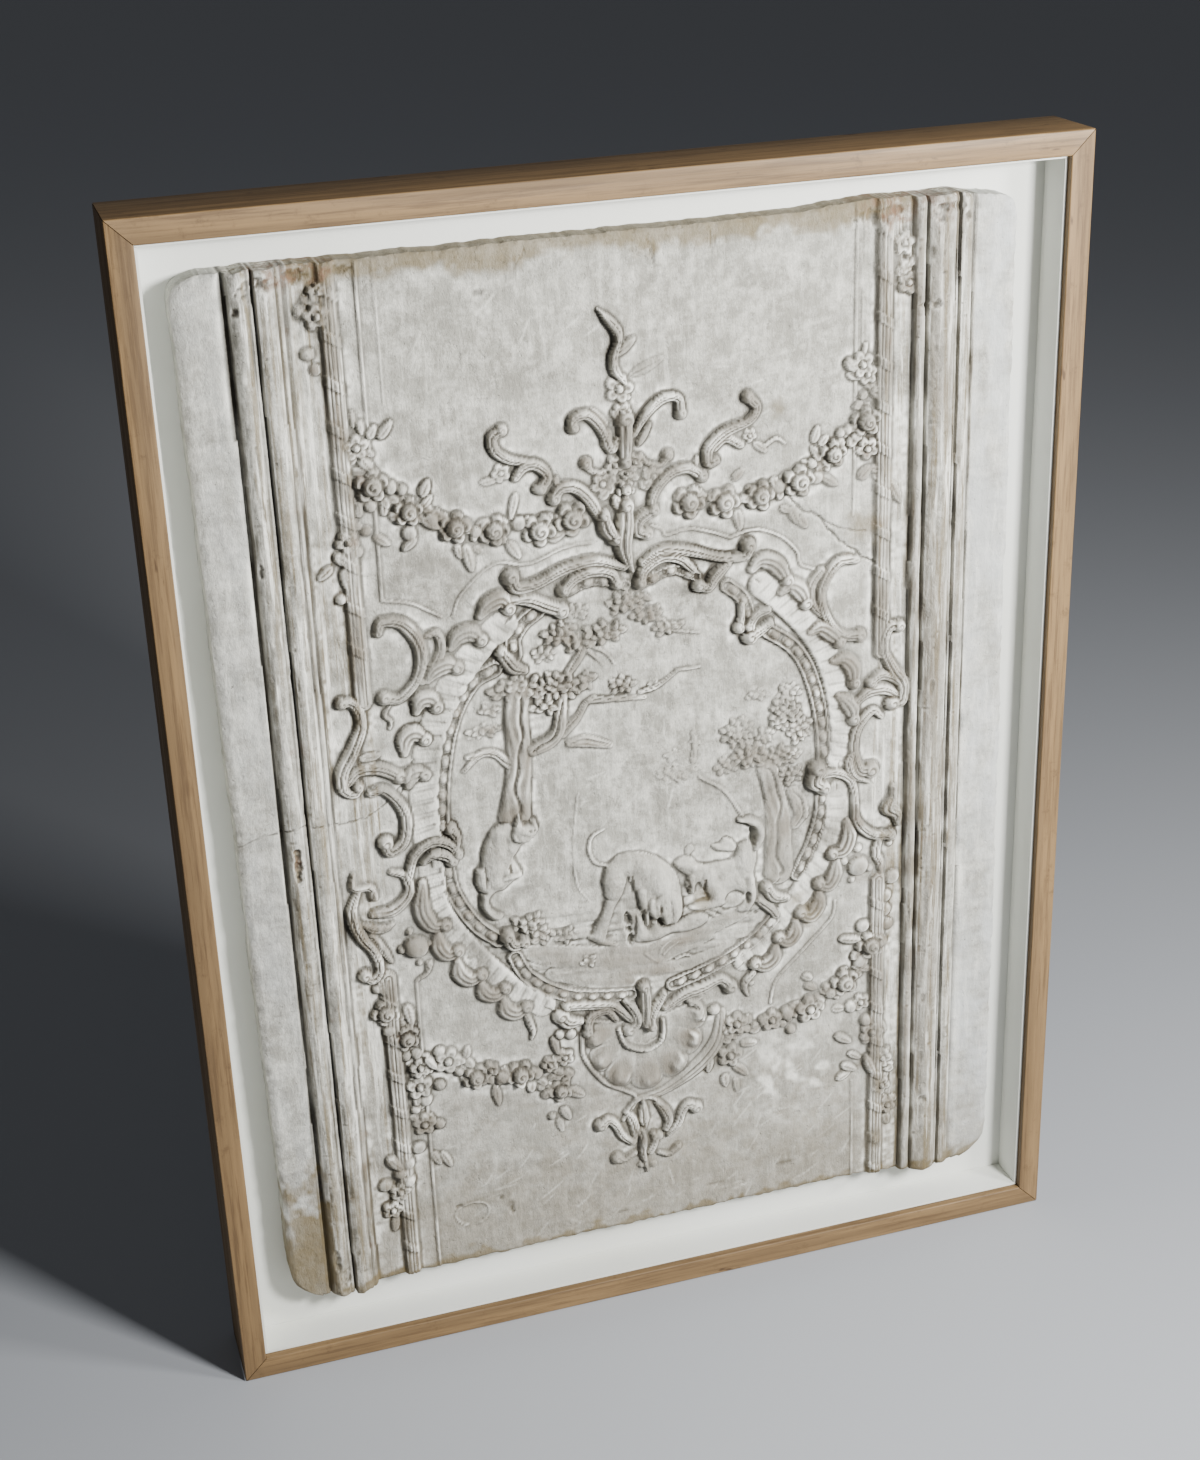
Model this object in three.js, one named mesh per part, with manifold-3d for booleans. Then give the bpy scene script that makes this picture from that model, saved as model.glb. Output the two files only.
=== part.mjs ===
// A fragment of a stucco ceiling: a rococo cartouche with a hunting scene, scrolls, garlands and run
// mouldings, on a white board in a pale wooden box frame that hangs on a wall.
// Millimetres. +X to the viewer's right, +Y into the wall, +Z up. The origin is on the wall, at the
// middle of the top rail's back face.
import * as THREE from 'three';
import { mergeVertices } from 'three/addons/utils/BufferGeometryUtils.js';
import Module from 'manifold-3d';

const wasm = await Module();
wasm.setup();

// Plaster, and the board that shows round it
const PLASTER_WIDTH = 721;
const PLASTER_HEIGHT = 977;
const PLASTER_THICKNESS = 23.7;
const EDGE_CHIP = 1.2;
const RELIEF_ROOT = 3;
const MARGIN_LEFT = 23;
const MARGIN_RIGHT = 34;
const MARGIN_TOP = 23.5;
const MARGIN_BOTTOM = 40.5;

// Box frame
const FRAME_DEPTH = 75;
const RAIL_FACE = 21;
const MITRE_GAP = 0.4;
const FIT_GAP = 0.3;

// Lining and backing board
const LIP_DEPTH = 7;
const LINING_THICKNESS = 2.2;
const BOARD_DEPTH_BEHIND_FRONT = 43;
const BOARD_THICKNESS = 8;

// Facets of the small forms. A ridge has 3 sides, a body 4 or more, and its widest corners stand at the
// share of its radius that SIDE_REACH gives. Buds and leaves under the smallest sizes have no solid.
const BUD_SIDES = 5;
const BUD_RINGS = 2;
const LEAF_SIDES = 4;
const SMALLEST_BUD = 6;
const BLOOM_SIDES = 10;
const WIDE_BLOOM = 14;
const PETALS = 5;
const PETAL_SWELL = 0.22;
const HEART_SHARE = 0.72;
const STRAND_SIDES = 3;
const BODY_SIDES = 4;
const ROD_SIDES = 6;
const STRAND_STEP = 17;
const CLUMP_SIDES = 9;
const CLUMP_LOBES = 3;
const SIDE_REACH = { 3: 0.72, 4: 1, 6: 0.87 };
const SMALLEST_LEAF = 4.5;
const SMALLEST_EDGE = 1.1;

// Places worked out from the sizes above
const FRONT_Y = -FRAME_DEPTH;
const BOARD_FRONT_Y = FRONT_Y + BOARD_DEPTH_BEHIND_FRONT;
const PLASTER_BACK_Y = BOARD_FRONT_Y - FIT_GAP;
const GROUND_Y = PLASTER_BACK_Y - PLASTER_THICKNESS;
const OPENING_WIDTH = PLASTER_WIDTH + MARGIN_LEFT + MARGIN_RIGHT;
const OPENING_HEIGHT = PLASTER_HEIGHT + MARGIN_TOP + MARGIN_BOTTOM;
const FRAME_WIDTH = OPENING_WIDTH + 2 * RAIL_FACE;
const FRAME_HEIGHT = OPENING_HEIGHT + 2 * RAIL_FACE;
const PANEL_CENTRE_Z = RAIL_FACE / 2 - FRAME_HEIGHT / 2;

const wood = new THREE.MeshStandardMaterial({ color: 0xcfc6b2, roughness: 0.6, metalness: 0 });
const paint = new THREE.MeshStandardMaterial({ color: 0xe6e7e3, roughness: 0.7, metalness: 0 });
const plaster = new THREE.MeshStandardMaterial({ color: 0xc9c7c0, roughness: 0.9, metalness: 0 });

// Outline of the plaster, clockwise from the top left. It and the carving below are drawn from the
// middle of the opening, x to the right and z up, and stretched to PLASTER_WIDTH and PLASTER_HEIGHT.
// The corners are broken round.
const OUTLINE = [
  [-366, 455], [-364, 476], [-350, 489], [-300, 491], [-262, 494], [-180, 493], [-40, 492], [90, 494],
  [215, 496], [262, 497], [312, 492], [336, 488], [347, 478], [348, 440], [349, 200], [352, -100],
  [355, -380], [355, -440], [350, -463], [333, -476], [305, -479], [262, -477], [120, -474], [-60, -474],
  [-200, -475], [-275, -477], [-312, -480], [-338, -476], [-350, -464], [-355, -440], [-357, -300],
  [-361, 0], [-364, 250],
];
const CHIP_TURN_X = 7;
const CHIP_TURN_Z = 5;

// Run mouldings at the two long sides: from, to, height at the edges, height at the crown. A member
// with equal heights is flat, the others are round.
const MOULDINGS = [
  [-380, -324, 4, 4], [-321, -300, 3, 12], [-298, -279, 3, 12.5], [-279, -275.5, 3.5, 3.5],
  [257.5, 264.5, 3, 8], [267, 292, 3, 13], [293.5, 295.5, 4, 6], [297, 307.5, 3, 8.5], [310, 380, 4, 4],
];
const GROOVE_FLOOR = 0.6;
const GROOVE_SLOPE = 0.5;
const MOULDED_SIDES = [[-324, -275.5], [257.5, 310]];
const ROUND_FACETS = 5;

// Scrolls, stems and volutes: height, half widths along the way, points of the middle line
const SCROLLS = [
  // finial spray over the cartouche
  [7, [2.5, 4, 4, 3.5, 4.5, 4, 1], [[-4, 368], [-12, 379], [-13, 390], [-9, 402], [-9, 411], [-16, 421],
    [-25, 431]]],
  [6, [3.5, 4.5, 4.5, 4, 4], [[-50, 335], [-49, 342], [-38, 344], [-27, 333], [-18, 312]]],
  [6, [2.5, 4, 4.5, 4, 3.5], [[3, 322], [13, 338], [28, 350], [42, 349], [44, 336]]],
  [5, [3.5, 2.5, 2.5, 2], [[-40, 303], [-36, 296], [-28, 293], [-20, 296]]],
  [5, [2, 2.5, 2.5, 3.5], [[8, 304], [14, 296], [26, 293], [32, 301]]],
  [8, [9, 8, 6], [[-5, 336], [-5, 318], [-6, 300]]],
  [6, [4, 5, 4, 3], [[-20, 326], [-21, 318], [-16, 312], [-12, 320]]],
  // side arms at the top
  [7, [4, 5.5, 5.5, 5, 4.5], [[-28, 252], [-38, 271], [-50, 283], [-63, 284], [-69, 276]]],
  [7, [3.5, 5, 5, 4.5, 4.5], [[-101, 298], [-93, 307], [-82, 306], [-74, 296], [-80, 286]]],
  [7, [4, 5, 5, 4, 2.5], [[-111, 340], [-119, 335], [-117, 323], [-105, 314], [-88, 310]]],
  [7, [3.5, 5, 5, 4.5, 4], [[16, 258], [21, 273], [34, 285], [50, 287], [62, 279]]],
  [7, [4, 5, 5.5, 5, 4, 4.5, 4], [[75, 291], [68, 290], [69, 303], [84, 315], [105, 322], [112, 333],
    [104, 343]]],
  [5, [3, 4, 4], [[74, 301], [84, 309], [97, 302]]],
  // calyx that joins the spray to the cartouche
  [10, [5, 6.5, 5], [[-27, 256], [-24, 244], [-17, 234]]],
  [11, [6, 8, 8, 6, 2], [[-7, 262], [-8, 245], [-10, 228], [-7, 214], [-3, 203]]],
  [9, [5, 5.5, 5, 5], [[17, 255], [5, 249], [3, 238], [11, 235]]],
  // scrolls along the cartouche's top edge
  [9, [6.5, 5, 5, 5, 4.5, 3.5], [[-110, 212], [-105, 202], [-88, 203], [-62, 213], [-35, 216], [-10, 207]]],
  [8, [5, 5, 5, 5, 4.5], [[-64, 194], [-54, 203], [-38, 207], [-22, 203], [-17, 193]]],
  [9, [6, 4, 4, 5, 4.5, 3.5], [[103, 211], [98, 202], [76, 204], [48, 214], [24, 218], [7, 209]]],
  [8, [5, 5, 5, 5, 4], [[4, 191], [9, 203], [24, 211], [40, 208], [52, 196]]],
  [9, [3, 6, 6.5, 6], [[-109, 191], [-94, 189], [-80, 182], [-67, 176]]],
  [9, [5, 5, 6, 4], [[57, 181], [66, 178], [73, 188], [84, 197]]],
  [8, [5, 7, 7, 4], [[-122, 147], [-117, 138], [-111, 130], [-102, 126]]],
  [8, [5, 5, 4], [[103, 136], [110, 146], [121, 149]]],
  [9, [6, 5, 4], [[104, 126], [113, 130], [123, 136]]],
  [8, [4.5, 3, 3], [[94, 136], [97, 147], [97, 158]]],
  // left side scrolls
  [7, [4, 5, 6.5, 6.5, 5.5, 4.5, 4.5, 5.5], [[-226, 179], [-222, 188], [-205, 184], [-193, 167],
    [-191, 148],
    [-198, 130], [-212, 118], [-225, 120]]],
  [5, [3, 4, 4.5, 3.5], [[-185, 170], [-176, 171], [-173, 156], [-183, 138]]],
  [8, [4, 4.5, 5, 6, 6.5, 6, 4.5, 4.5], [[-262, 121], [-252, 119], [-246, 101], [-255, 78], [-266, 58],
    [-266, 41], [-257, 36], [-254, 42]]],
  [6, [4, 6, 6.5, 5.5], [[-262, 46], [-252, 56], [-234, 55], [-217, 45]]],
  [8, [4, 4.5, 5, 5, 5, 5.5, 6], [[-243, 34], [-232, 35], [-219, 20], [-214, 3], [-218, -16], [-230, -24],
    [-234, -15]]],
  [6, [3, 4.5, 5, 6, 4], [[-231, -45], [-219, -51], [-217, -68], [-232, -82], [-250, -83]]],
  [7, [2, 3.5, 3.5, 4], [[-265, -41], [-265, -54], [-251, -56], [-248, -66]]],
  [8, [3, 5, 5.5, 5, 4.5, 4, 5], [[-262, -57], [-269, -78], [-263, -102], [-252, -120], [-248, -138],
    [-255, -147], [-262, -142]]],
  [5, [2, 5, 4.5, 2], [[-260, -92], [-250, -98], [-240, -99], [-233, -96]]],
  [5, [3, 4, 4, 2], [[-253, -104], [-247, -114], [-242, -124], [-237, -134]]],
  [7, [4, 4.5, 4.5, 5, 4], [[-216, -52], [-209, -32], [-193, -22], [-178, -27], [-171, -38]]],
  [9, [3, 4.5, 5, 5], [[-202, -40], [-193, -34], [-182, -37], [-177, -43]]],
  [7, [5, 4.5, 3], [[-176, -12], [-171, -22], [-172, -32]]],
  [4, [1.5, 2, 2, 1.5], [[-221, 112], [-226, 104], [-221, 98], [-222, 91]]],
  [4, [3.5, 2, 1.5], [[-203, -143], [-206, -152], [-216, -158]]],
  // right side scrolls
  [7, [4, 5, 5, 4.5, 4.5, 4.5, 5.5], [[205, 184], [188, 184], [175, 168], [172, 149], [181, 126],
    [194, 113], [209, 111]]],
  [5, [4, 4.5, 4, 3], [[172, 178], [163, 166], [163, 149], [174, 134]]],
  [8, [5, 4.5, 4.5, 5.5, 6.5, 5.5, 6], [[247, 115], [237, 114], [233, 94], [242, 74], [252, 58],
    [251, 42], [242, 40]]],
  [7, [4.5, 5, 4.5, 3], [[221, 63], [229, 69], [240, 66], [249, 58]]],
  [6, [4, 5.5, 5.5, 4], [[206, 45], [219, 54], [235, 54], [248, 46]]],
  [7, [3, 4.5, 5, 5, 5, 7], [[232, 28], [223, 35], [209, 21], [205, 0], [211, -22], [222, -24]]],
  [7, [4, 5, 5, 5], [[207, -56], [209, -75], [224, -91], [243, -95]]],
  [9, [3.5, 4, 7, 6, 3], [[245, -46], [245, -55], [240, -66], [248, -73], [250, -84]]],
  [6, [4, 4.5, 4, 3], [[231, -99], [229, -112], [233, -122], [234, -132]]],
  [6, [5, 5, 4.5, 4, 4], [[174, -20], [189, -22], [201, -30], [206, -43], [207, -58]]],
  [11, [7, 7.5, 6], [[168, -14], [165, -26], [174, -33]]],
  [7, [2.5, 5, 3.5, 2], [[204, -2], [200, -14], [206, -28], [220, -36]]],
  // knots where the lower bands meet
  [10, [6, 6, 5], [[-131, -128], [-126, -138], [-116, -137]]],
  [8, [5, 6, 4], [[119, -127], [126, -138], [139, -142]]],
  [7, [4, 5, 4], [[112, -140], [122, -149], [128, -158]]],
  // foot of the cartouche: stem, volutes and shell rim
  [9, [5, 6, 6, 5, 4], [[-4, -207], [-3, -216], [-3, -228], [-3, -240], [-3, -248]]],
  [8, [3, 5, 5, 5.5], [[-22, -219], [-14, -231], [-11, -243], [-19, -251]]],
  [5, [2, 2.5, 2.5, 2.5, 2], [[-29, -249], [-22, -268], [-2, -277], [13, -269], [15, -248]]],
  [7, [5, 5, 4.5, 4], [[-78, -213], [-55, -217], [-34, -222], [-17, -240]]],
  [6, [4, 4.5, 4.5, 3], [[-59, -246], [-55, -230], [-40, -226], [-31, -238]]],
  [8, [7, 7, 4], [[-84, -222], [-78, -230], [-66, -232]]],
  [8, [4, 6, 6.5, 5, 6], [[18, -235], [36, -225], [55, -221], [72, -216], [82, -226]]],
  [6, [3, 4, 3], [[40, -232], [50, -240], [54, -255]]],
  [4, [3, 3.5, 3.5, 3], [[-64, -250], [-62, -278], [-44, -303], [-18, -327]]],
  [4, [3, 4, 4, 3], [[74, -258], [66, -290], [42, -316], [10, -335]]],
  [8, [3, 6, 9, 8], [[-56, -246], [-50, -256], [-47, -269], [-46, -281]]],
  [8, [4, 9, 9], [[-38, -283], [-33, -292], [-24, -300]]],
  [9, [10, 15, 15, 8], [[-3, -280], [-4, -293], [-4, -306], [-4, -318]]],
  [8, [5, 9, 8, 5], [[45, -255], [44, -268], [42, -279], [36, -288]]],
  [7, [5, 8, 6], [[26, -280], [24, -294], [18, -304]]],
  [6, [4, 6, 5], [[38, -290], [42, -299], [38, -309]]],
  // pendant under the foot
  [6, [5.5, 4.5, 4, 4, 3], [[-50, -351], [-42, -347], [-35, -354], [-29, -367], [-19, -378]]],
  [6, [5.5, 4.5, 4, 4, 3], [[46, -352], [38, -347], [32, -353], [28, -365], [18, -376]]],
  [7, [2, 5, 6, 2], [[-7, -334], [-7, -345], [-7, -354], [-6, -363]]],
  [6, [3, 5, 5, 3], [[-24, -342], [-19, -350], [-16, -361], [-16, -372]]],
  [6, [3, 5, 5, 3], [[7, -338], [14, -348], [18, -360], [15, -370]]],
  [7, [4, 4, 3.5, 2.5, 1], [[-10, -366], [-8, -378], [-9, -390], [-7, -400], [-5, -414]]],
  [5, [4.5, 3, 3], [[-35, -392], [-28, -396], [-17, -391]]],
  [5, [2.5, 3, 4], [[8, -396], [18, -400], [27, -393]]],
  [5, [3, 3.5, 3], [[2, -372], [4, -382], [-1, -393]]],
  [2.5, [2, 2, 1.5], [[120, 298], [130, 303], [138, 298]]],
];

// Curled tongues of the rocaille fringe: points from root to curled tip
const TONGUES = [
  [[-138, 181], [-130, 190], [-119, 193], [-113, 185]],
  [[-165, 156], [-158, 165], [-148, 167], [-139, 160]],
  [[-187, 130], [-180, 138], [-170, 141], [-161, 138]],
  [[-198, 103], [-194, 112], [-186, 112], [-181, 105]], [[-211, 66], [-209, 79], [-202, 83], [-193, 77]],
  [[-210, 35], [-207, 43], [-201, 46], [-196, 44]], [[-204, -60], [-207, -85], [-199, -104], [-187, -106]],
  [[-194, -113], [-193, -127], [-186, -136], [-177, -134]],
  [[-178, -145], [-176, -158], [-167, -166], [-157, -163]],
  [[-158, -172], [-154, -183], [-145, -187], [-136, -182]],
  [[-138, -193], [-135, -205], [-126, -210], [-117, -206]],
  [[-116, -216], [-114, -227], [-112, -234], [-112, -242]],
  [[107, 188], [115, 195], [128, 190], [139, 174]], [[134, 163], [142, 168], [151, 162], [157, 150]],
  [[162, 121], [171, 124], [181, 117], [189, 108]], [[184, 90], [194, 90], [202, 81], [204, 66]],
  [[189, 55], [196, 49], [202, 40], [204, 30]], [[199, -74], [201, -89], [195, -102], [184, -104]],
  [[189, -112], [187, -126], [180, -136], [171, -133]],
  [[172, -143], [171, -155], [163, -165], [153, -161]],
  [[148, -169], [147, -180], [140, -187], [131, -183]],
  [[128, -191], [126, -203], [117, -209], [107, -206]], [[106, -216], [98, -224], [97, -232], [100, -240]],
];
const TONGUE_HEIGHT = 10;
const TONGUE_STEP = 15;
const TONGUE_WIDTHS = [3, 6.5, 7.5, 5];

// Bands of the cartouche: height, half width, middle line
const FRINGE_BANDS = [
  [6, 13, [[-118, 170], [-140, 153], [-160, 129], [-176, 102], [-188, 72], [-195, 38], [-197, 2],
    [-196, -18]]],
  [6, 12, [[116, 172], [138, 152], [158, 129], [174, 104], [184, 78], [190, 48], [193, 16], [190, -8]]],
  [5, 12, [[-194, -50], [-194, -78], [-184, -108], [-166, -137], [-145, -165], [-124, -189], [-100, -208]]],
  [5, 12, [[188, -42], [188, -72], [178, -104], [160, -132], [140, -158], [119, -182], [98, -201]]],
];
const BEAD_BANDS = [
  [4, 7.5, [[-88, 178], [-101, 169], [-110, 156], [-110, 141]]],
  [4, 7.5, [[-128, 131], [-146, 123], [-161, 103], [-171, 78], [-177, 52], [-181, 24], [-183, -4],
    [-182, -18]]],
  [4, 7, [[-181, -48], [-178, -72], [-168, -96], [-155, -116], [-138, -132]]],
  [4, 7, [[-124, -152], [-115, -172], [-98, -189], [-76, -202], [-50, -209], [-16, -214]]],
  [4, 6.5, [[84, 176], [97, 164], [103, 148], [103, 138]]],
  [4, 7, [[122, 128], [143, 112], [157, 92], [166, 68], [172, 42], [175, 14], [176, -8]]],
  [4, 6.5, [[175, -38], [173, -62], [167, -84], [158, -104], [150, -120]]],
  [4, 7, [[126, -162], [108, -179], [84, -193], [56, -204], [26, -212]]],
  [4, 4.5, [[-64, 191], [-36, 198], [-8, 190]]],
  [4, 4.5, [[8, 190], [34, 198], [56, 189]]],
];
const BAND_STEP = 30;
const BEAD_SPACING = 20.5;
const BEAD_RADIUS = 4.8;
const BEAD_HEIGHT = 6;

// Open flowers: x, z, radius, height
const BLOOMS = [
  [-9, 363, 12, 7], [-7, 343, 8, 7], [-26, 283, 10, 5], [-6, 276, 8, 10], [-15, 298, 8, 7], [2, 299, 8, 8],
  [-5, 290, 6, 7], [19, 284, 9, 5], [-232, 340, 11, 8], [-222, 307, 14, 13], [-193, 281, 12, 11],
  [-155, 262, 13, 11], [-122, 255, 13, 10], [-83, 250, 14, 11], [-54, 256, 15, 11], [-245, 262, 10, 9],
  [-113, 303, 8, 4], [208, 359, 11, 8], [213, 350, 9, 7], [212, 309, 13, 13], [182, 283, 12, 11],
  [150, 263, 14, 14], [115, 254, 13, 10], [82, 253, 14, 10], [50, 257, 14, 10], [106, 309, 6, 5],
  [214, 284, 10, 7], [-246, -184, 13, 11], [-229, -215, 12, 11], [-219, -248, 10, 9], [-221, -268, 12, 9],
  [-219, -310, 11, 7], [-247, -377, 10, 9], [-255, -396, 10, 8], [-193, -247, 13, 8], [-168, -270, 12, 11],
  [-126, -276, 13, 12], [-88, -303, 11, 10], [-82, -268, 9, 6], [225, -210, 14, 12], [199, -246, 14, 11],
  [163, -268, 14, 9], [124, -272, 11, 8], [88, -268, 11, 9], [81, -302, 12, 8], [228, -308, 12, 7],
  [240, -340, 10, 7], [239, -371, 10, 8], [246, -396, 9, 7], [-97, -272, 8, 8], [216, -272, 9, 6],
  [-154, -265, 8, 9], [-255, 450, 11, 9], [-252, 470, 9, 8], [245, 459, 10, 7], [250, 425, 10, 6],
];

// Buds and round bosses: x, z, radius, height
const BUDS = [
  [-214, -123, 11.5, 11], [-219, -107, 3.2, 6], [-227, -124, 4, 5], [-212, -140, 3, 5], [-202, -122, 3, 4],
  [211, -122, 10.5, 10], [211, -104, 4.5, 5], [197, -115, 4.5, 5], [223, -127, 4, 5], [205, -136, 3.5, 5],
  [246, -140, 8, 7], [243, -104, 3.5, 4], [-254, 213, 5, 7], [-192, 130, 4.5, 6], [66, -248, 6, 8],
  [-86, -243, 5, 5], [-75, -245, 5.5, 5], [-18, -376, 5, 6], [8, -376, 5, 6], [31, -234, 4, 4],
  [-97, -330, 4, 5], [-106, -295, 5, 4], [-193, 262, 7, 6], [-137, 256, 6, 6], [-100, 258, 7, 6],
  [-206, 303, 6, 7], [-197, 300, 5, 7], [-174, 272, 7, 7], [189, 301, 4.5, 6], [196, 303, 4.5, 6],
  [203, 296, 5.5, 6], [167, 264, 7, 6], [163, 277, 5, 6], [132, 260, 8, 5], [-224, 290, 6, 6],
  [-229, 269, 5, 5], [-236, 274, 4.5, 4], [-238, 252, 6, 6], [-251, -158, 6, 6], [-244, -203, 7, 7],
  [-241, -218, 5, 6], [-231, -234, 5, 6], [-202, -271, 6, 6], [-216, -284, 7, 6], [-205, -313, 6, 5],
  [-226, -292, 5, 6], [-237, -348, 7, 7], [-245, -357, 7, 8], [-238, -367, 7, 9], [-260, -368, 7, 6],
  [-200, -236, 6, 6], [-183, -261, 5, 6], [-142, -276, 8, 7], [-109, -280, 6, 5], [185, -255, 7, 6],
  [144, -287, 5.5, 6], [140, -268, 8, 7], [222, -294, 7, 6], [206, -275, 7, 6], [198, -309, 8, 6],
  [210, -331, 5, 4], [205, -343, 7, 5], [240, -160, 7, 5], [240, -175, 7, 5], [242, -191, 7, 5],
  [217, -188, 7, 7], [236, -208, 7, 9], [215, -226, 8, 6], [-264, 420, 6, 6], [-259, 407, 5, 4],
  [-268, 455, 5, 5], [-10, -406, 4, 4], [2, -408, 4, 3], [43, -236, 4, 6], [104, 343, 4, 8],
  [-82, 286, 5, 8], [-226, -334, 7, 6], [104, -228, 3, 3],
];

// Leaves: from x, z to x, z, half width, height
const LEAVES = [
  [-11, 391, 7, 405, 4.5, 5], [2, 373, 31, 385, 5, 2.5], [-34, 349, -19, 332, 3.5, 4],
  [6, 312, 18, 331, 3.5, 5], [-16, 345, -3, 330, 4, 5], [12, 291, 17, 276, 4, 4],
  [-16, 272, -11, 257, 4.5, 7], [-66, 295, -66, 286, 3, 4], [58, 297, 57, 286, 2.5, 4],
  [-131, 297, -116, 298, 3.5, 3], [110, 302, 122, 292, 4, 3], [-233, 371, -232, 356, 2.5, 4],
  [-228, 363, -226, 350, 3.5, 5], [-221, 346, -215, 357, 4.5, 5], [-213, 345, -201, 359, 4.5, 6],
  [-229, 331, -220, 318, 6, 6], [-239, 297, -226, 292, 4, 4], [-234, 281, -233, 295, 4, 5],
  [-213, 280, -212, 294, 4, 4], [-181, 292, -174, 306, 5, 5], [-181, 283, -172, 292, 4, 4],
  [-182, 274, -168, 263, 5, 6], [-188, 258, -200, 248, 4.5, 6], [-101, 285, -107, 262, 4, 4],
  [-154, 247, -151, 234, 4, 4], [-147, 246, -142, 221, 5.5, 5], [-139, 243, -132, 236, 3.5, 3],
  [-110, 243, -100, 227, 5, 4], [-223, 264, -210, 254, 4.5, 4], [-259, 242, -272, 232, 4.5, 4],
  [-257, 252, -240, 240, 6, 6], [-250, 240, -247, 219, 5, 6], [212, 378, 210, 366, 2.5, 4],
  [193, 365, 203, 353, 5, 6], [195, 353, 205, 347, 4.5, 4], [214, 340, 235, 318, 4.5, 4],
  [217, 316, 230, 306, 5.5, 5], [164, 295, 169, 310, 4.5, 4], [170, 292, 178, 300, 4, 3],
  [171, 280, 162, 292, 3.5, 3], [172, 264, 187, 254, 4.5, 4], [90, 271, 101, 280, 4, 3],
  [37, 264, 50, 258, 4.5, 4], [94, 244, 97, 225, 5, 3], [143, 240, 150, 224, 5, 3],
  [151, 230, 159, 219, 5, 3], [134, 241, 143, 236, 4, 3], [207, 257, 218, 268, 5.5, 4],
  [217, 266, 234, 262, 5, 4], [220, 260, 240, 247, 5, 4], [236, 252, 247, 230, 5, 4],
  [-250, 66, -231, 68, 4.5, 3], [-259, 64, -249, 75, 3, 3], [-227, -180, -223, -203, 5.5, 5],
  [-249, -148, -246, -166, 5.5, 6], [-214, -238, -204, -252, 5, 8], [-176, -248, -173, -236, 4.5, 4],
  [-150, -284, -147, -307, 4.5, 4], [-93, -244, -88, -264, 4, 5], [-80, -304, -64, -315, 6, 4],
  [-87, -322, -79, -338, 5, 4], [-91, -334, -87, -350, 4, 3], [-214, -342, -206, -358, 4.5, 4],
  [-205, -344, -196, -363, 4.5, 4], [-256, -338, -242, -354, 6.5, 7], [-252, -404, -255, -422, 4.5, 4],
  [193, -198, 216, -203, 5, 5], [208, -230, 226, -238, 5, 4], [156, -230, 166, -236, 5, 4],
  [158, -241, 171, -248, 4.5, 4], [187, -274, 200, -276, 5, 3], [92, -292, 110, -294, 5, 4],
  [62, -301, 59, -317, 4.5, 4], [76, -322, 77, -337, 5, 4], [85, -314, 100, -328, 5, 4],
  [87, -329, 89, -347, 3.5, 3], [192, -355, 206, -348, 4.5, 5], [222, -334, 232, -358, 5.5, 8],
  [236, -298, 243, -312, 4.5, 4], [250, -386, 256, -394, 4, 3], [243, -406, 248, -420, 5, 3],
  [231, -112, 238, -128, 3.5, 4], [-148, 268, -142, 258, 5, 6], [-75, 240, -62, 243, 5, 4],
];

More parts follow.
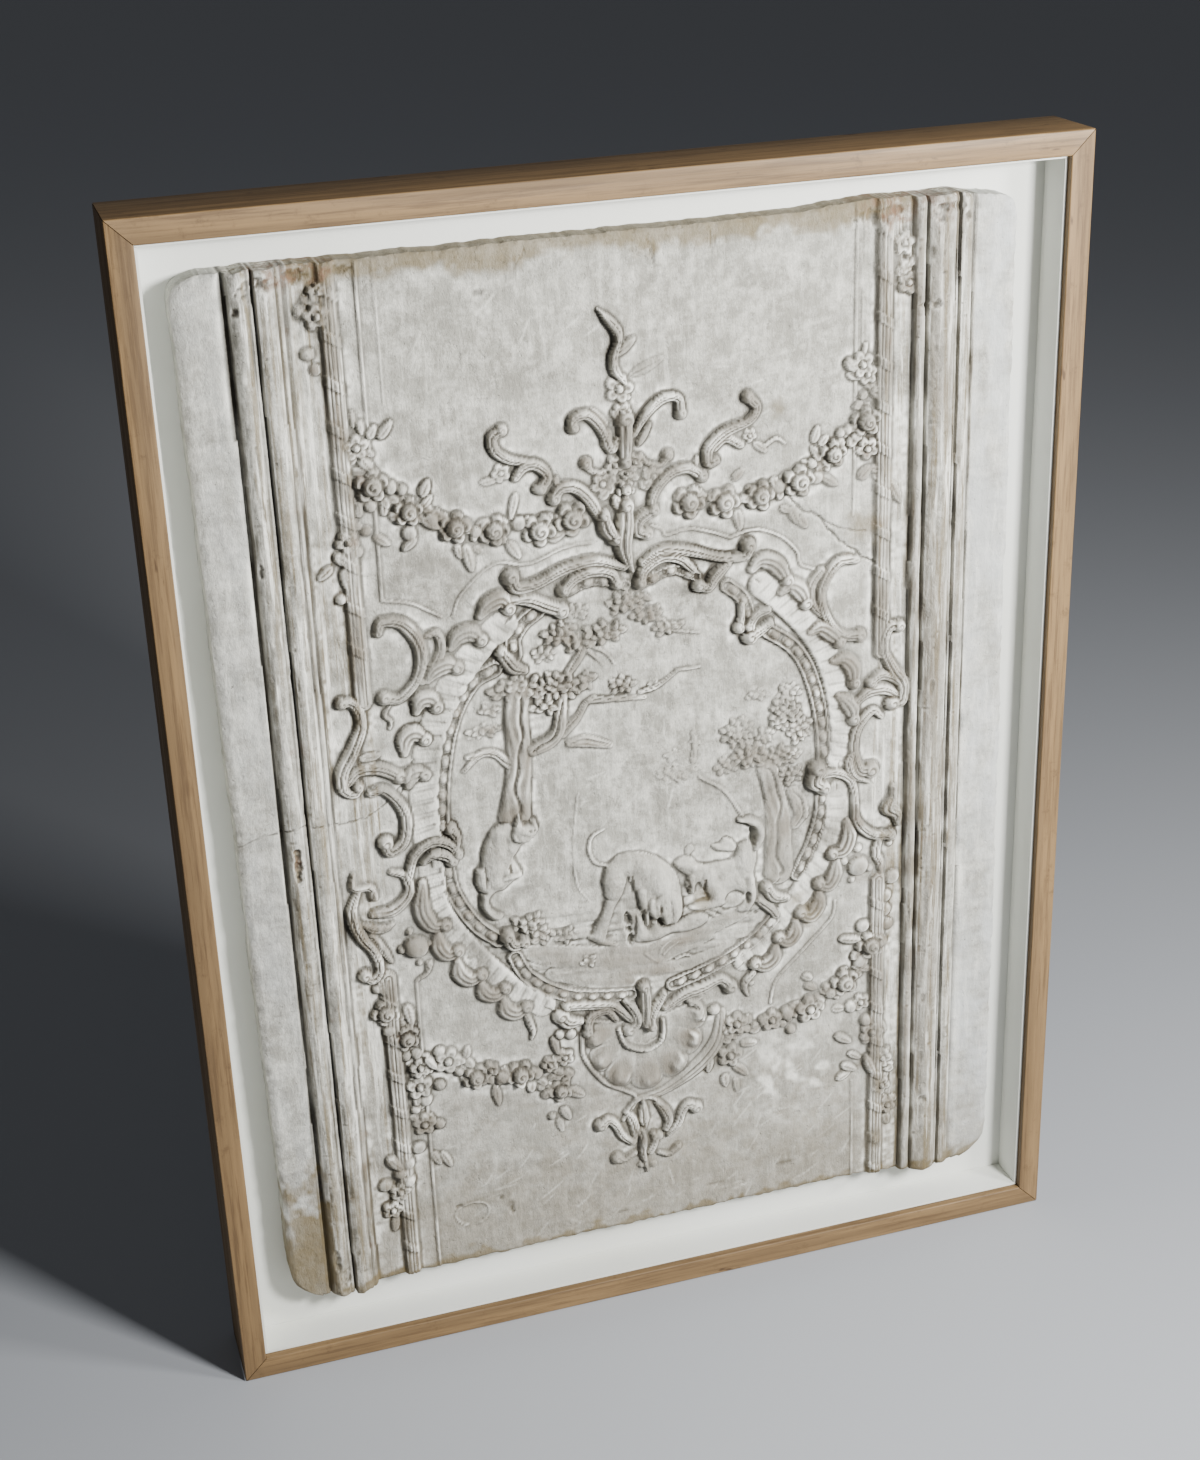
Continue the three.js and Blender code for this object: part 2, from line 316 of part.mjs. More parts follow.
// Trees, hounds and ground of the hunting scene: height, half widths, middle line
const HUNT = [
  // left tree
  [6, [11, 9, 10, 12], [[-112, 104], [-112, 68], [-111, 34], [-117, -6]]],
  [4, [4, 4.5, 4, 3], [[-118, 42], [-134, 53], [-148, 52], [-162, 39]]],
  [7, [7, 6, 5.5, 5], [[-98, 52], [-82, 58], [-74, 72], [-72, 92]]],
  [4, [4, 4.5, 4], [[-70, 60], [-56, 74], [-42, 90]]],
  [3, [3, 3, 2.5], [[-44, 88], [-24, 86], [4, 84]]],
  [3.5, [4, 6, 5, 3], [[-64, 50], [-50, 50], [-38, 46], [-27, 42]]],
  [4, [6, 6, 5], [[-66, 116], [-52, 131], [-42, 147]]],
  // left hound, climbing
  [12, [11, 17, 17, 12], [[-143, -82], [-143, -58], [-136, -36], [-126, -20]]],
  [10, [10, 9, 5], [[-122, -18], [-110, -22], [-101, -27]]],
  [6, [7, 8, 7, 4], [[-143, -84], [-142, -96], [-137, -104], [-129, -107]]],
  [6, [4, 4, 2], [[-122, -10], [-114, -8], [-108, -15]]],
  // middle hound, head down, and the quarry under it
  [5, [10, 20, 24, 14], [[-22, -76], [-6, -88], [12, -106], [26, -126]]],
  [5, [12, 15, 12], [[-30, -80], [-26, -100], [-16, -112]]],
  [4, [14, 14, 8], [[-34, -120], [-36, -136], [-28, -150]]],
  [5, [8, 8, 6], [[2, -146], [18, -148], [34, -146]]],
  // right hound
  [8, [8, 14, 13, 11], [[52, -98], [66, -106], [84, -104], [98, -92]]],
  [7, [9, 8, 6], [[62, -108], [66, -122], [73, -132]]],
  [7, [9, 7, 5], [[96, -100], [105, -122], [99, -142]]],
  [6, [3, 4, 5, 4], [[92, -51], [104, -57], [109, -70], [104, -82]]],
  [6, [6, 6, 4], [[54, -92], [46, -100], [43, -114]]],
  [3, [3, 5, 6, 3], [[30, -84], [42, -92], [44, -80], [46, -70]]],
  [2.5, [6, 8, 6], [[66, -72], [76, -77], [88, -78]]],
  // right tree
  [4, [10, 12, 14, 16], [[121, -6], [129, -40], [131, -78], [130, -112]]],
  [3, [7, 8, 7], [[148, -46], [152, -54], [148, -64]]],
  // ground
  [4, [6, 9, 9, 6], [[-118, -142], [-80, -164], [-40, -178], [0, -184]]],
  [3, [5, 8, 8, 4], [[-72, -186], [-30, -196], [16, -200], [60, -196]]],
  [3, [4, 6, 6, 4], [[-20, -158], [20, -160], [60, -152], [100, -158]]],
  [4, [6, 5, 3], [[-74, -128], [-70, -138], [-64, -146]]],
];

// Clumps of leaves: x, z, half length, half height, relief
const FOLIAGE = [
  [-112, 110, 24, 11, 6], [-72, 106, 20, 14, 7], [-48, 106, 10, 9, 5], [-82, 90, 16, 7, 6],
  [-136, 92, 9, 7, 4], [-143, 76, 15, 5, 4], [-14, 98, 12, 8, 4], [16, 94, 14, 5, 3], [-68, 154, 16, 10, 5],
  [-26, 149, 12, 9, 6], [-52, 146, 12, 8, 6], [-86, 138, 12, 6, 3], [-8, 176, 14, 8, 4], [8, 160, 16, 7, 4],
  [26, 146, 14, 6, 4], [-112, -122, 16, 9, 7], [-98, -136, 9, 9, 6], [136, 46, 16, 15, 6],
  [152, 30, 12, 12, 5], [140, 66, 14, 9, 4], [92, 30, 16, 14, 4], [104, 8, 16, 12, 5], [136, 4, 18, 10, 5],
  [138, -14, 16, 6, 4], [118, 30, 12, 10, 3], [30, 8, 16, 12, 2],
];

// Half-round rods at the inner side of the mouldings: x, z from, z to
const RODS = [[-242.5, 492, 122], [-242.5, -150, -474], [231, 494, 96], [231, -140, -474]];
const ROD_HALF_WIDTH = 8.5;
const ROD_HEIGHT = 8;

// Raised lines round the side panels, and the plain oval rim: half width, points
const LINES = [
  [1.6, [[-218.5, 488], [-218.5, 350], [-218.5, 206]]], [1.6, [[-218, 206], [-196, 201], [-182, 193],
    [-170, 185]]],
  [1.6, [[-216.5, -158], [-216.5, -330], [-216.5, -474]]], [1.4, [[206, 490], [205, 350], [204, 225]]],
  [1.4, [[206.5, -360], [207, -420], [207, -474]]],
  [1.6, [[18, 240], [27, 236], [31, 230], [50, 233], [72, 227], [88, 220]]],
  [1.6, [[88, 220], [112, 224], [136, 214], [151, 198], [154, 186], [166, 180]]],
  [1.6, [[188, -156], [184, -174], [156, -202], [129, -229], [122, -254]]],
  [1.4, [[-160, 184], [-150, 204], [-122, 225], [-92, 221], [-60, 231], [-36, 232]]],
  [1.3, [[-198, -421], [-181, -410], [-165, -419], [-167, -428], [-181, -433], [-198, -421]]],
];
const LINE_HEIGHT = 1.4;
const LINE_STEP = 30;

// A closed mesh as a solid, and a solid as a mesh
function toSolid(geometry) {
  geometry.deleteAttribute('normal');
  geometry.deleteAttribute('uv');
  const merged = mergeVertices(geometry, 1e-4);
  const vertProperties = new Float32Array(merged.attributes.position.array);
  const triVerts = new Uint32Array(merged.index.array);
  return new wasm.Manifold(new wasm.Mesh({ numProp: 3, vertProperties, triVerts }));
}

function toGeometry(solid) {
  const mesh = solid.getMesh();
  const geometry = new THREE.BufferGeometry();
  geometry.setAttribute('position', new THREE.BufferAttribute(mesh.vertProperties, 3));
  geometry.setIndex(new THREE.BufferAttribute(mesh.triVerts, 1));
  return geometry;
}

// Moves every vertex of a geometry by a function of its old place
function remap(geometry, place) {
  const position = geometry.attributes.position;
  const vertex = new THREE.Vector3();
  for (let i = 0; i < position.count; i += 1) {
    vertex.fromBufferAttribute(position, i);
    position.setXYZ(i, ...place(vertex));
  }
  return geometry;
}

// Value at t (0 to 1) on a row of evenly spaced values
function along(values, t) {
  const place = t * (values.length - 1);
  const before = Math.min(Math.floor(place), values.length - 2);
  return THREE.MathUtils.lerp(values[before], values[before + 1], place - before);
}

function curveThrough(points) {
  return new THREE.CatmullRomCurve3(points.map(([x, z]) => new THREE.Vector3(x, 0, z)), false, 'centripetal');
}

// A rounded ridge that follows a curve on the ground, half sunk in it
function strand(points, halfWidths, height, spacing = STRAND_STEP, sides = STRAND_SIDES) {
  const curve = curveThrough(points);
  const steps = Math.max(1, Math.round(curve.getLength() / spacing));
  const widest = Math.max(...halfWidths);
  const tube = new THREE.CylinderGeometry(1, 1, 1, sides, steps, false);
  return toSolid(remap(tube, (v) => {
    const t = THREE.MathUtils.clamp(0.5 - v.y, 0, 1);
    const centre = curve.getPointAt(t);
    const tangent = curve.getTangentAt(t);
    const halfWidth = along(halfWidths, t);
    const rise = v.z > 0 ? height * (1 + halfWidth / widest) / 2 : RELIEF_ROOT;
    const side = v.x * halfWidth / SIDE_REACH[sides];
    return [centre.x - tangent.z * side, GROUND_Y - v.z * rise, centre.z + tangent.x * side];
  }));
}

// A low dome on the ground, with a radius that may swell into petals round a hollow heart
function dome(x, z, radius, height, sides, rings, petals = 0, squeeze = 1) {
  const ball = new THREE.SphereGeometry(1, sides, rings);
  return toSolid(remap(ball, (v) => {
    const angle = Math.atan2(v.z, v.x);
    const out = Math.hypot(v.x, v.z);
    const swell = petals ? 1 + PETAL_SWELL * Math.cos(petals * angle) * out : 1;
    const hollow = petals && v.y === 1 ? HEART_SHARE : 1;
    const rise = v.y > 0 ? height * hollow : RELIEF_ROOT;
    return [x + v.x * radius * swell, GROUND_Y - v.y * rise, z - v.z * radius * swell * squeeze];
  }));
}

function bud([x, z, radius, height]) {
  return dome(x, z, radius, height, BUD_SIDES, BUD_RINGS);
}

function bloom([x, z, radius, height]) {
  return dome(x, z, radius, height, BLOOM_SIDES, radius < WIDE_BLOOM ? BUD_RINGS : BUD_RINGS + 1, PETALS);
}

function leaf([x0, z0, x1, z1, halfWidth, height]) {
  const length = Math.hypot(x1 - x0, z1 - z0);
  const lozenge = dome(0, 0, length / 2, height, LEAF_SIDES, BUD_RINGS, 0, 2 * halfWidth / length);
  const turn = THREE.MathUtils.radToDeg(Math.atan2(z1 - z0, x1 - x0));
  return lozenge.rotate([0, -turn, 0]).translate([(x0 + x1) / 2, 0, (z0 + z1) / 2]);
}

// A clump of leaves: one lobed, flattened dome
function clump([x, z, halfLength, halfHeight, height]) {
  return dome(x, z, halfLength, height, CLUMP_SIDES, BUD_RINGS, CLUMP_LOBES, halfHeight / halfLength);
}

// Egg-shaped beads along a band
function beads(height, points) {
  const curve = curveThrough(points);
  const count = Math.floor(curve.getLength() / BEAD_SPACING);
  const row = [];
  for (let i = 0; i < count; i += 1) {
    const { x, z } = curve.getPointAt((i + 0.5) / count);
    row.push(dome(x, z, BEAD_RADIUS, height, BUD_SIDES, BUD_RINGS));
  }
  return row;
}

function rod([x, top, bottom]) {
  return strand([[x, top], [x, bottom]], [ROD_HALF_WIDTH, ROD_HALF_WIDTH], ROD_HEIGHT, top - bottom, ROD_SIDES);
}

// Slab with the run mouldings along its two sides, in section, then cut to the broken outline
function slab() {
  const top = GROUND_Y;
  const section = new THREE.Shape();
  const reach = MOULDINGS[MOULDINGS.length - 1][1];
  const halfLength = 2 * reach;
  section.moveTo(-reach, -PLASTER_BACK_Y);
  section.lineTo(-reach, -top + MOULDINGS[0][2]);
  for (const [from, to, edge, crown] of MOULDINGS) {
    const facets = edge === crown ? 1 : ROUND_FACETS;
    const inside = MOULDED_SIDES.some(([left, right]) => from > left && from < right);
    if (inside) section.lineTo(from - GROOVE_SLOPE, -top + GROOVE_FLOOR);
    for (let i = 0; i <= facets; i += 1) {
      const angle = Math.PI * (1 - i / facets);
      const x = (from + to) / 2 + Math.cos(angle) * (to - from) / 2;
      section.lineTo(Math.max(-reach, Math.min(reach, x)), -top + edge + (crown - edge) * Math.sin(angle));
    }
    section.lineTo(Math.min(to + GROOVE_SLOPE, reach), -top + (to < reach ? GROOVE_FLOOR : edge));
  }
  section.lineTo(reach, -PLASTER_BACK_Y);
  section.closePath();
  const long = new THREE.ExtrudeGeometry(section, { depth: 2 * halfLength, bevelEnabled: false });
  remap(long, (v) => [v.x, -v.y, halfLength - v.z]);
  const chipped = OUTLINE.map(([x, z], i) => {
    const aside = EDGE_CHIP * Math.sin(CHIP_TURN_X * i);
    const up = EDGE_CHIP * Math.cos(CHIP_TURN_Z * i);
    return new THREE.Vector2(x + aside, z + up);
  });
  const shape = new THREE.Shape(chipped);
  const plan = new THREE.ExtrudeGeometry(shape, { depth: 2 * FRAME_DEPTH, bevelEnabled: false });
  remap(plan, (v) => [v.x, -v.z, v.y]);
  return { run: toSolid(long), outline: toSolid(plan) };
}

function plasterRelief() {
  const { run, outline } = slab();
  const forms = [];
  SCROLLS.forEach(([height, halfWidths, points]) => forms.push(strand(points, halfWidths, height)));
  TONGUES.forEach((points) => forms.push(strand(points, TONGUE_WIDTHS, TONGUE_HEIGHT, TONGUE_STEP)));
  FRINGE_BANDS.forEach(([height, halfWidth, points]) => {
    forms.push(strand(points, [halfWidth, halfWidth], height, BAND_STEP, BODY_SIDES));
  });
  BEAD_BANDS.forEach(([height, halfWidth, points]) => {
    forms.push(strand(points, [halfWidth, halfWidth], height, BAND_STEP, BODY_SIDES));
    forms.push(...beads(BEAD_HEIGHT, points));
  });
  BLOOMS.forEach((item) => forms.push(bloom(item)));
  BUDS.filter(([, , radius]) => radius >= SMALLEST_BUD).forEach((item) => forms.push(bud(item)));
  LEAVES.filter(([, , , , halfWidth]) => halfWidth >= SMALLEST_LEAF).forEach((item) => forms.push(leaf(item)));
  HUNT.forEach(([height, halfWidths, points]) => {
    forms.push(strand(points, halfWidths, height, STRAND_STEP, BODY_SIDES));
  });
  FOLIAGE.forEach((item) => forms.push(clump(item)));
  RODS.forEach((item) => forms.push(rod(item)));
  LINES.forEach(([halfWidth, points]) => {
    forms.push(strand(points, [halfWidth, halfWidth], LINE_HEIGHT, LINE_STEP));
  });
  const whole = wasm.Manifold.union([run, ...forms]).intersect(outline).simplify(SMALLEST_EDGE);
  const xs = OUTLINE.map(([x]) => x);
  const zs = OUTLINE.map(([, z]) => z);
  const stretchX = PLASTER_WIDTH / (Math.max(...xs) - Math.min(...xs));
  const stretchZ = PLASTER_HEIGHT / (Math.max(...zs) - Math.min(...zs));
  const left = MARGIN_LEFT - OPENING_WIDTH / 2;
  const bottom = MARGIN_BOTTOM - OPENING_HEIGHT / 2;
  const shift = [left - Math.min(...xs) * stretchX, 0, bottom - Math.min(...zs) * stretchZ];
  return toGeometry(whole.scale([stretchX, 1, stretchZ]).translate(shift));
}

// One mitred rail, as the long side of a picture frame: its face lies in XZ, and its depth runs back
function rail(length, turn) {
  const half = length / 2 - MITRE_GAP;
  const face = new THREE.Shape();
  face.moveTo(-half, RAIL_FACE / 2);
  face.lineTo(-half + RAIL_FACE, -RAIL_FACE / 2);
  face.lineTo(half - RAIL_FACE, -RAIL_FACE / 2);
  face.lineTo(half, RAIL_FACE / 2);
  face.closePath();
  const geometry = new THREE.ExtrudeGeometry(face, { depth: FRAME_DEPTH, bevelEnabled: false });
  geometry.rotateX(Math.PI / 2);
  geometry.rotateY(turn);
  return geometry;
}

function addPiece(group, name, geometry, material, x, y, z) {
  const mesh = new THREE.Mesh(geometry, material);
  mesh.name = name;
  mesh.position.set(x, y, z);
  group.add(mesh);
}

const fragment = new THREE.Group();
const panel = new THREE.Group();
panel.position.z = PANEL_CENTRE_Z;
fragment.add(panel);

const railX = FRAME_WIDTH / 2 - RAIL_FACE / 2;
const railZ = FRAME_HEIGHT / 2 - RAIL_FACE / 2;
addPiece(panel, 'Frame_Top_Rail', rail(FRAME_WIDTH, 0), wood, 0, 0, railZ);
addPiece(panel, 'Frame_Right_Rail', rail(FRAME_HEIGHT, Math.PI / 2), wood, railX, 0, 0);
addPiece(panel, 'Frame_Bottom_Rail', rail(FRAME_WIDTH, Math.PI), wood, 0, 0, -railZ);
addPiece(panel, 'Frame_Left_Rail', rail(FRAME_HEIGHT, -Math.PI / 2), wood, -railX, 0, 0);

const liningDepth = BOARD_DEPTH_BEHIND_FRONT - LIP_DEPTH - FIT_GAP;
const liningY = FRONT_Y + LIP_DEPTH + liningDepth / 2;
const liningWidth = OPENING_WIDTH - 2 * FIT_GAP;
const sideLining = OPENING_HEIGHT - 2 * (LINING_THICKNESS + 2 * FIT_GAP);
const liningX = OPENING_WIDTH / 2 - FIT_GAP - LINING_THICKNESS / 2;
const liningZ = OPENING_HEIGHT / 2 - FIT_GAP - LINING_THICKNESS / 2;
const flatStrip = () => new THREE.BoxGeometry(liningWidth, liningDepth, LINING_THICKNESS);
const uprightStrip = () => new THREE.BoxGeometry(LINING_THICKNESS, liningDepth, sideLining);
addPiece(panel, 'Lining_Top', flatStrip(), paint, 0, liningY, liningZ);
addPiece(panel, 'Lining_Bottom', flatStrip(), paint, 0, liningY, -liningZ);
addPiece(panel, 'Lining_Left', uprightStrip(), paint, -liningX, liningY, 0);
addPiece(panel, 'Lining_Right', uprightStrip(), paint, liningX, liningY, 0);

const board = new THREE.BoxGeometry(OPENING_WIDTH - 2 * FIT_GAP, BOARD_THICKNESS, OPENING_HEIGHT - 2 * FIT_GAP);
addPiece(panel, 'Backing_Board', board, paint, 0, BOARD_FRONT_Y + BOARD_THICKNESS / 2, 0);

addPiece(panel, 'Plaster_Relief', plasterRelief(), plaster, 0, 0, 0);

export default fragment;
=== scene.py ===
import math

import bmesh
import bpy
import numpy as np
from mathutils import Euler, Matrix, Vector


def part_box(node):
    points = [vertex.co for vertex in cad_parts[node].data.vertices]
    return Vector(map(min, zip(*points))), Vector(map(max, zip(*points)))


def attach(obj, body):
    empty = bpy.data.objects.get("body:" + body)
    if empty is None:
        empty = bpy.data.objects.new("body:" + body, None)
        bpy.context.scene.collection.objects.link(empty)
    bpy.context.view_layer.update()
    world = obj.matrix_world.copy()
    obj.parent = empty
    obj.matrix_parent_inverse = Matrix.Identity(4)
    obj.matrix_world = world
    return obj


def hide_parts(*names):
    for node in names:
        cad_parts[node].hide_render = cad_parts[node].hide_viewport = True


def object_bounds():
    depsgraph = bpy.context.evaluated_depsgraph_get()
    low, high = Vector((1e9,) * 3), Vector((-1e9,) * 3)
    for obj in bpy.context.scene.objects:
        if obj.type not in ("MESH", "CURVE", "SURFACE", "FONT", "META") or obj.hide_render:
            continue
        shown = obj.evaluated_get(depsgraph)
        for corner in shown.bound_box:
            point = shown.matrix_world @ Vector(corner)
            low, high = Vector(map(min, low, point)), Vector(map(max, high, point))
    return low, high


bl_info = {
    "name": "Plaster ceiling fragment",
    "version": (1, 0, 0),
    "blender": (4, 5, 0),
    "location": "3D View > Sidebar > Plaster",
    "description": "Carves and finishes a stucco ceiling fragment in its wooden box frame",
    "category": "Object",
}

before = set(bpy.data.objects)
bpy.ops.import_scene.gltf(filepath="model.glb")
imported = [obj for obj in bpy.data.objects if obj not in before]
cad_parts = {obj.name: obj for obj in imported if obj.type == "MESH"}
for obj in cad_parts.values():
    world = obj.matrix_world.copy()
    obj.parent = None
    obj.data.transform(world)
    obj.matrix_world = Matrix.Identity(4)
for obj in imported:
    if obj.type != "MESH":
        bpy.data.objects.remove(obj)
CAD_BOX = [list(corner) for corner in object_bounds()]

# Places taken from the frame, in metres. The relief is drawn in millimetres from the middle of the
# opening, x to the right and z up, with heights towards the viewer above the plaster's ground.
MM = 0.001
BOARD_LOW, BOARD_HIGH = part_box("Backing_Board")
PLASTER_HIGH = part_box("Plaster_Relief")[1]
MIDDLE_X = (BOARD_LOW.x + BOARD_HIGH.x) / 2
MIDDLE_Z = (BOARD_LOW.z + BOARD_HIGH.z) / 2
BACK_Y = PLASTER_HIGH.y
SLAB_THICKNESS = 23.7
FRONT_Y = CAD_BOX[0][1]
FLOOR_Z = CAD_BOX[0][2] - 0.0005

# Every run member leans by this many millimetres sideways for each millimetre down
LEAN = 0.0055

# Scrolls, stems and volutes: height, half widths along the way, points of the middle line
FINIAL_SCROLLS = [
    (8, [2.5, 4, 4, 3.5, 4.5, 4, 1], [(-4, 368), (-12, 379), (-13, 390), (-9, 402), (-9, 411),
        (-16, 421), (-25, 431)]),
    (7, [4.5, 4.5, 4.5, 4, 4], [(-50, 335), (-49, 342), (-38, 344), (-27, 333), (-18, 312)]),
    (7, [2.5, 4, 4.5, 4, 4.5], [(3, 322), (13, 338), (28, 350), (42, 349), (44, 336)]),
    (5, [4.5, 2.5, 2.5, 2], [(-40, 303), (-36, 296), (-28, 293), (-20, 296)]),
    (5, [2, 2.5, 2.5, 4.5], [(8, 304), (14, 296), (26, 293), (32, 301)]),
    (8, [7, 6.5, 5], [(-5, 336), (-5, 318), (-6, 300)]),
    (6, [4, 5, 4, 3], [(-20, 326), (-21, 318), (-16, 312), (-12, 320)]),
    (7, [4, 5.5, 5.5, 5, 5], [(-28, 252), (-38, 271), (-50, 283), (-63, 284), (-69, 276)]),
    (7, [3.5, 5, 5, 4.5, 4.5], [(-101, 298), (-93, 307), (-82, 306), (-74, 296), (-80, 286)]),
    (7, [4.5, 4.6, 4.5, 4, 2.5], [(-111, 340), (-119, 335), (-117, 323), (-105, 314), (-88, 310)]),
    (7, [3.5, 5, 5, 4.5, 4.6], [(16, 258), (21, 273), (34, 285), (50, 287), (62, 279)]),
    (7, [4, 5, 5.5, 5, 4, 4.5, 4.6], [(75, 291), (68, 290), (69, 303), (84, 315), (105, 322),
        (112, 333), (104, 343)]),
    (5, [3, 4, 4], [(74, 301), (84, 309), (97, 302)]),
    (11, [5, 7, 5], [(-27, 256), (-24, 244), (-17, 234)]),
    (11, [6, 8, 8, 6, 2], [(-7, 262), (-8, 245), (-10, 228), (-7, 214), (-3, 203)]),
    (10, [5, 5.5, 5, 5], [(17, 255), (5, 249), (3, 238), (11, 235)]),
]
CARTOUCHE_SCROLLS = [
    (9, [6.5, 5, 5, 5, 4.5, 3.5], [(-110, 212), (-105, 202), (-88, 203), (-62, 213), (-35, 216),
        (-10, 207)]),
    (8, [5, 5, 5, 5, 4.5], [(-64, 194), (-54, 203), (-38, 207), (-22, 203), (-17, 193)]),
    (9, [6, 4, 4, 5, 4.5, 3.5], [(103, 211), (98, 202), (76, 204), (48, 214), (24, 218), (7, 209)]),
    (8, [5, 5, 5, 5, 4], [(4, 191), (9, 203), (24, 211), (40, 208), (52, 196)]),
    (9, [3, 6, 6.5, 6], [(-109, 191), (-94, 189), (-80, 182), (-67, 176)]),
    (9, [5, 5, 6, 4], [(57, 181), (66, 178), (73, 188), (84, 197)]),
    (8, [5, 7, 7, 4], [(-122, 147), (-117, 138), (-111, 130), (-102, 126)]),
    (8, [5, 5, 4], [(103, 136), (110, 146), (121, 149)]),
    (9, [6, 5, 4], [(104, 126), (113, 130), (123, 136)]),
    (8, [4.5, 3, 3], [(94, 136), (97, 147), (97, 158)]),
    (10, [6, 6, 5], [(-131, -128), (-126, -138), (-116, -137)]),
    (8, [5, 6, 4], [(119, -127), (126, -138), (139, -142)]),
    (7, [4, 5, 4], [(112, -140), (122, -149), (128, -158)]),
    (7, [4, 4.5, 4.5, 5, 4.5], [(-216, -52), (-209, -32), (-193, -22), (-178, -27), (-171, -38)]),
    (9, [3, 4.5, 5, 5], [(-202, -40), (-193, -34), (-182, -37), (-177, -43)]),
    (7, [5, 4.5, 3], [(-176, -12), (-171, -22), (-172, -32)]),
    (6, [5, 5, 4.5, 4, 4], [(174, -20), (189, -22), (201, -30), (206, -43), (207, -58)]),
    (11, [7, 7.5, 6], [(168, -14), (165, -26), (174, -33)]),
]
SIDE_SCROLLS = [
    (7, [4, 5, 6, 6, 5.5, 4.5, 4.5, 5.5], [(-226, 179), (-222, 188), (-205, 184), (-193, 167),
        (-191, 148), (-198, 130), (-212, 118), (-225, 120)]),
    (5, [3, 4, 4.5, 3.5], [(-185, 170), (-176, 171), (-173, 156), (-183, 138)]),
    (8, [4.5, 4.5, 5, 6, 6.5, 6, 4.5, 4.5], [(-262, 121), (-252, 119), (-246, 101), (-255, 78),
        (-266, 58), (-266, 41), (-257, 36), (-254, 42)]),
    (6, [4, 6, 6.5, 5.5], [(-262, 46), (-252, 56), (-234, 55), (-217, 45)]),
    (8, [4, 4.5, 5, 5, 5, 5.5, 6], [(-243, 34), (-232, 35), (-219, 20), (-214, 3), (-218, -16),
        (-230, -24), (-234, -15)]),
    (6, [3, 4.5, 5, 6, 4], [(-231, -45), (-219, -51), (-217, -68), (-232, -82), (-250, -83)]),
    (7, [2, 3.5, 3.5, 4], [(-265, -41), (-265, -54), (-251, -56), (-248, -66)]),
    (8, [3, 5, 5.5, 5, 4.5, 4, 5], [(-262, -57), (-269, -78), (-263, -102), (-252, -120), (-248, -138),
        (-255, -147), (-262, -142)]),
    (5, [2, 5, 4.5, 2], [(-260, -92), (-250, -98), (-240, -99), (-233, -96)]),
    (5, [3, 4, 4, 2], [(-253, -104), (-247, -114), (-242, -124), (-237, -134)]),
    (4, [1.5, 2, 2, 1.5], [(-221, 112), (-226, 104), (-221, 98), (-222, 91)]),
    (4, [3.5, 2, 1.5], [(-203, -143), (-206, -152), (-216, -158)]),
    (7, [4, 5, 5, 4.5, 4.5, 4.5, 5.5], [(205, 184), (188, 184), (175, 168), (172, 149), (181, 126),
        (194, 113), (209, 111)]),
    (5, [4, 4.5, 4, 3], [(172, 178), (163, 166), (163, 149), (174, 134)]),
    (8, [5, 4.5, 4.5, 5.5, 6.5, 5.5, 6], [(247, 115), (237, 114), (233, 94), (242, 74), (252, 58),
        (251, 42), (242, 40)]),
    (7, [4.5, 5, 4.5, 3], [(221, 63), (229, 69), (240, 66), (249, 58)]),
    (6, [4, 5.5, 5.5, 4], [(206, 45), (219, 54), (235, 54), (248, 46)]),
    (7, [3, 4.5, 5, 5, 5, 7], [(232, 28), (223, 35), (209, 21), (205, 0), (211, -22), (222, -24)]),
    (7, [4, 5, 5, 5], [(207, -56), (209, -75), (224, -91), (243, -95)]),
    (9, [3.5, 4, 7, 6, 3], [(245, -46), (245, -55), (240, -66), (248, -73), (250, -84)]),
    (6, [4, 4.5, 4, 3], [(231, -99), (229, -112), (233, -122), (234, -132)]),
    (7, [2.5, 5, 3.5, 2], [(204, -2), (200, -14), (206, -28), (220, -36)]),
    (2.5, [2, 2, 1.5], [(120, 298), (130, 303), (138, 298)]),
]
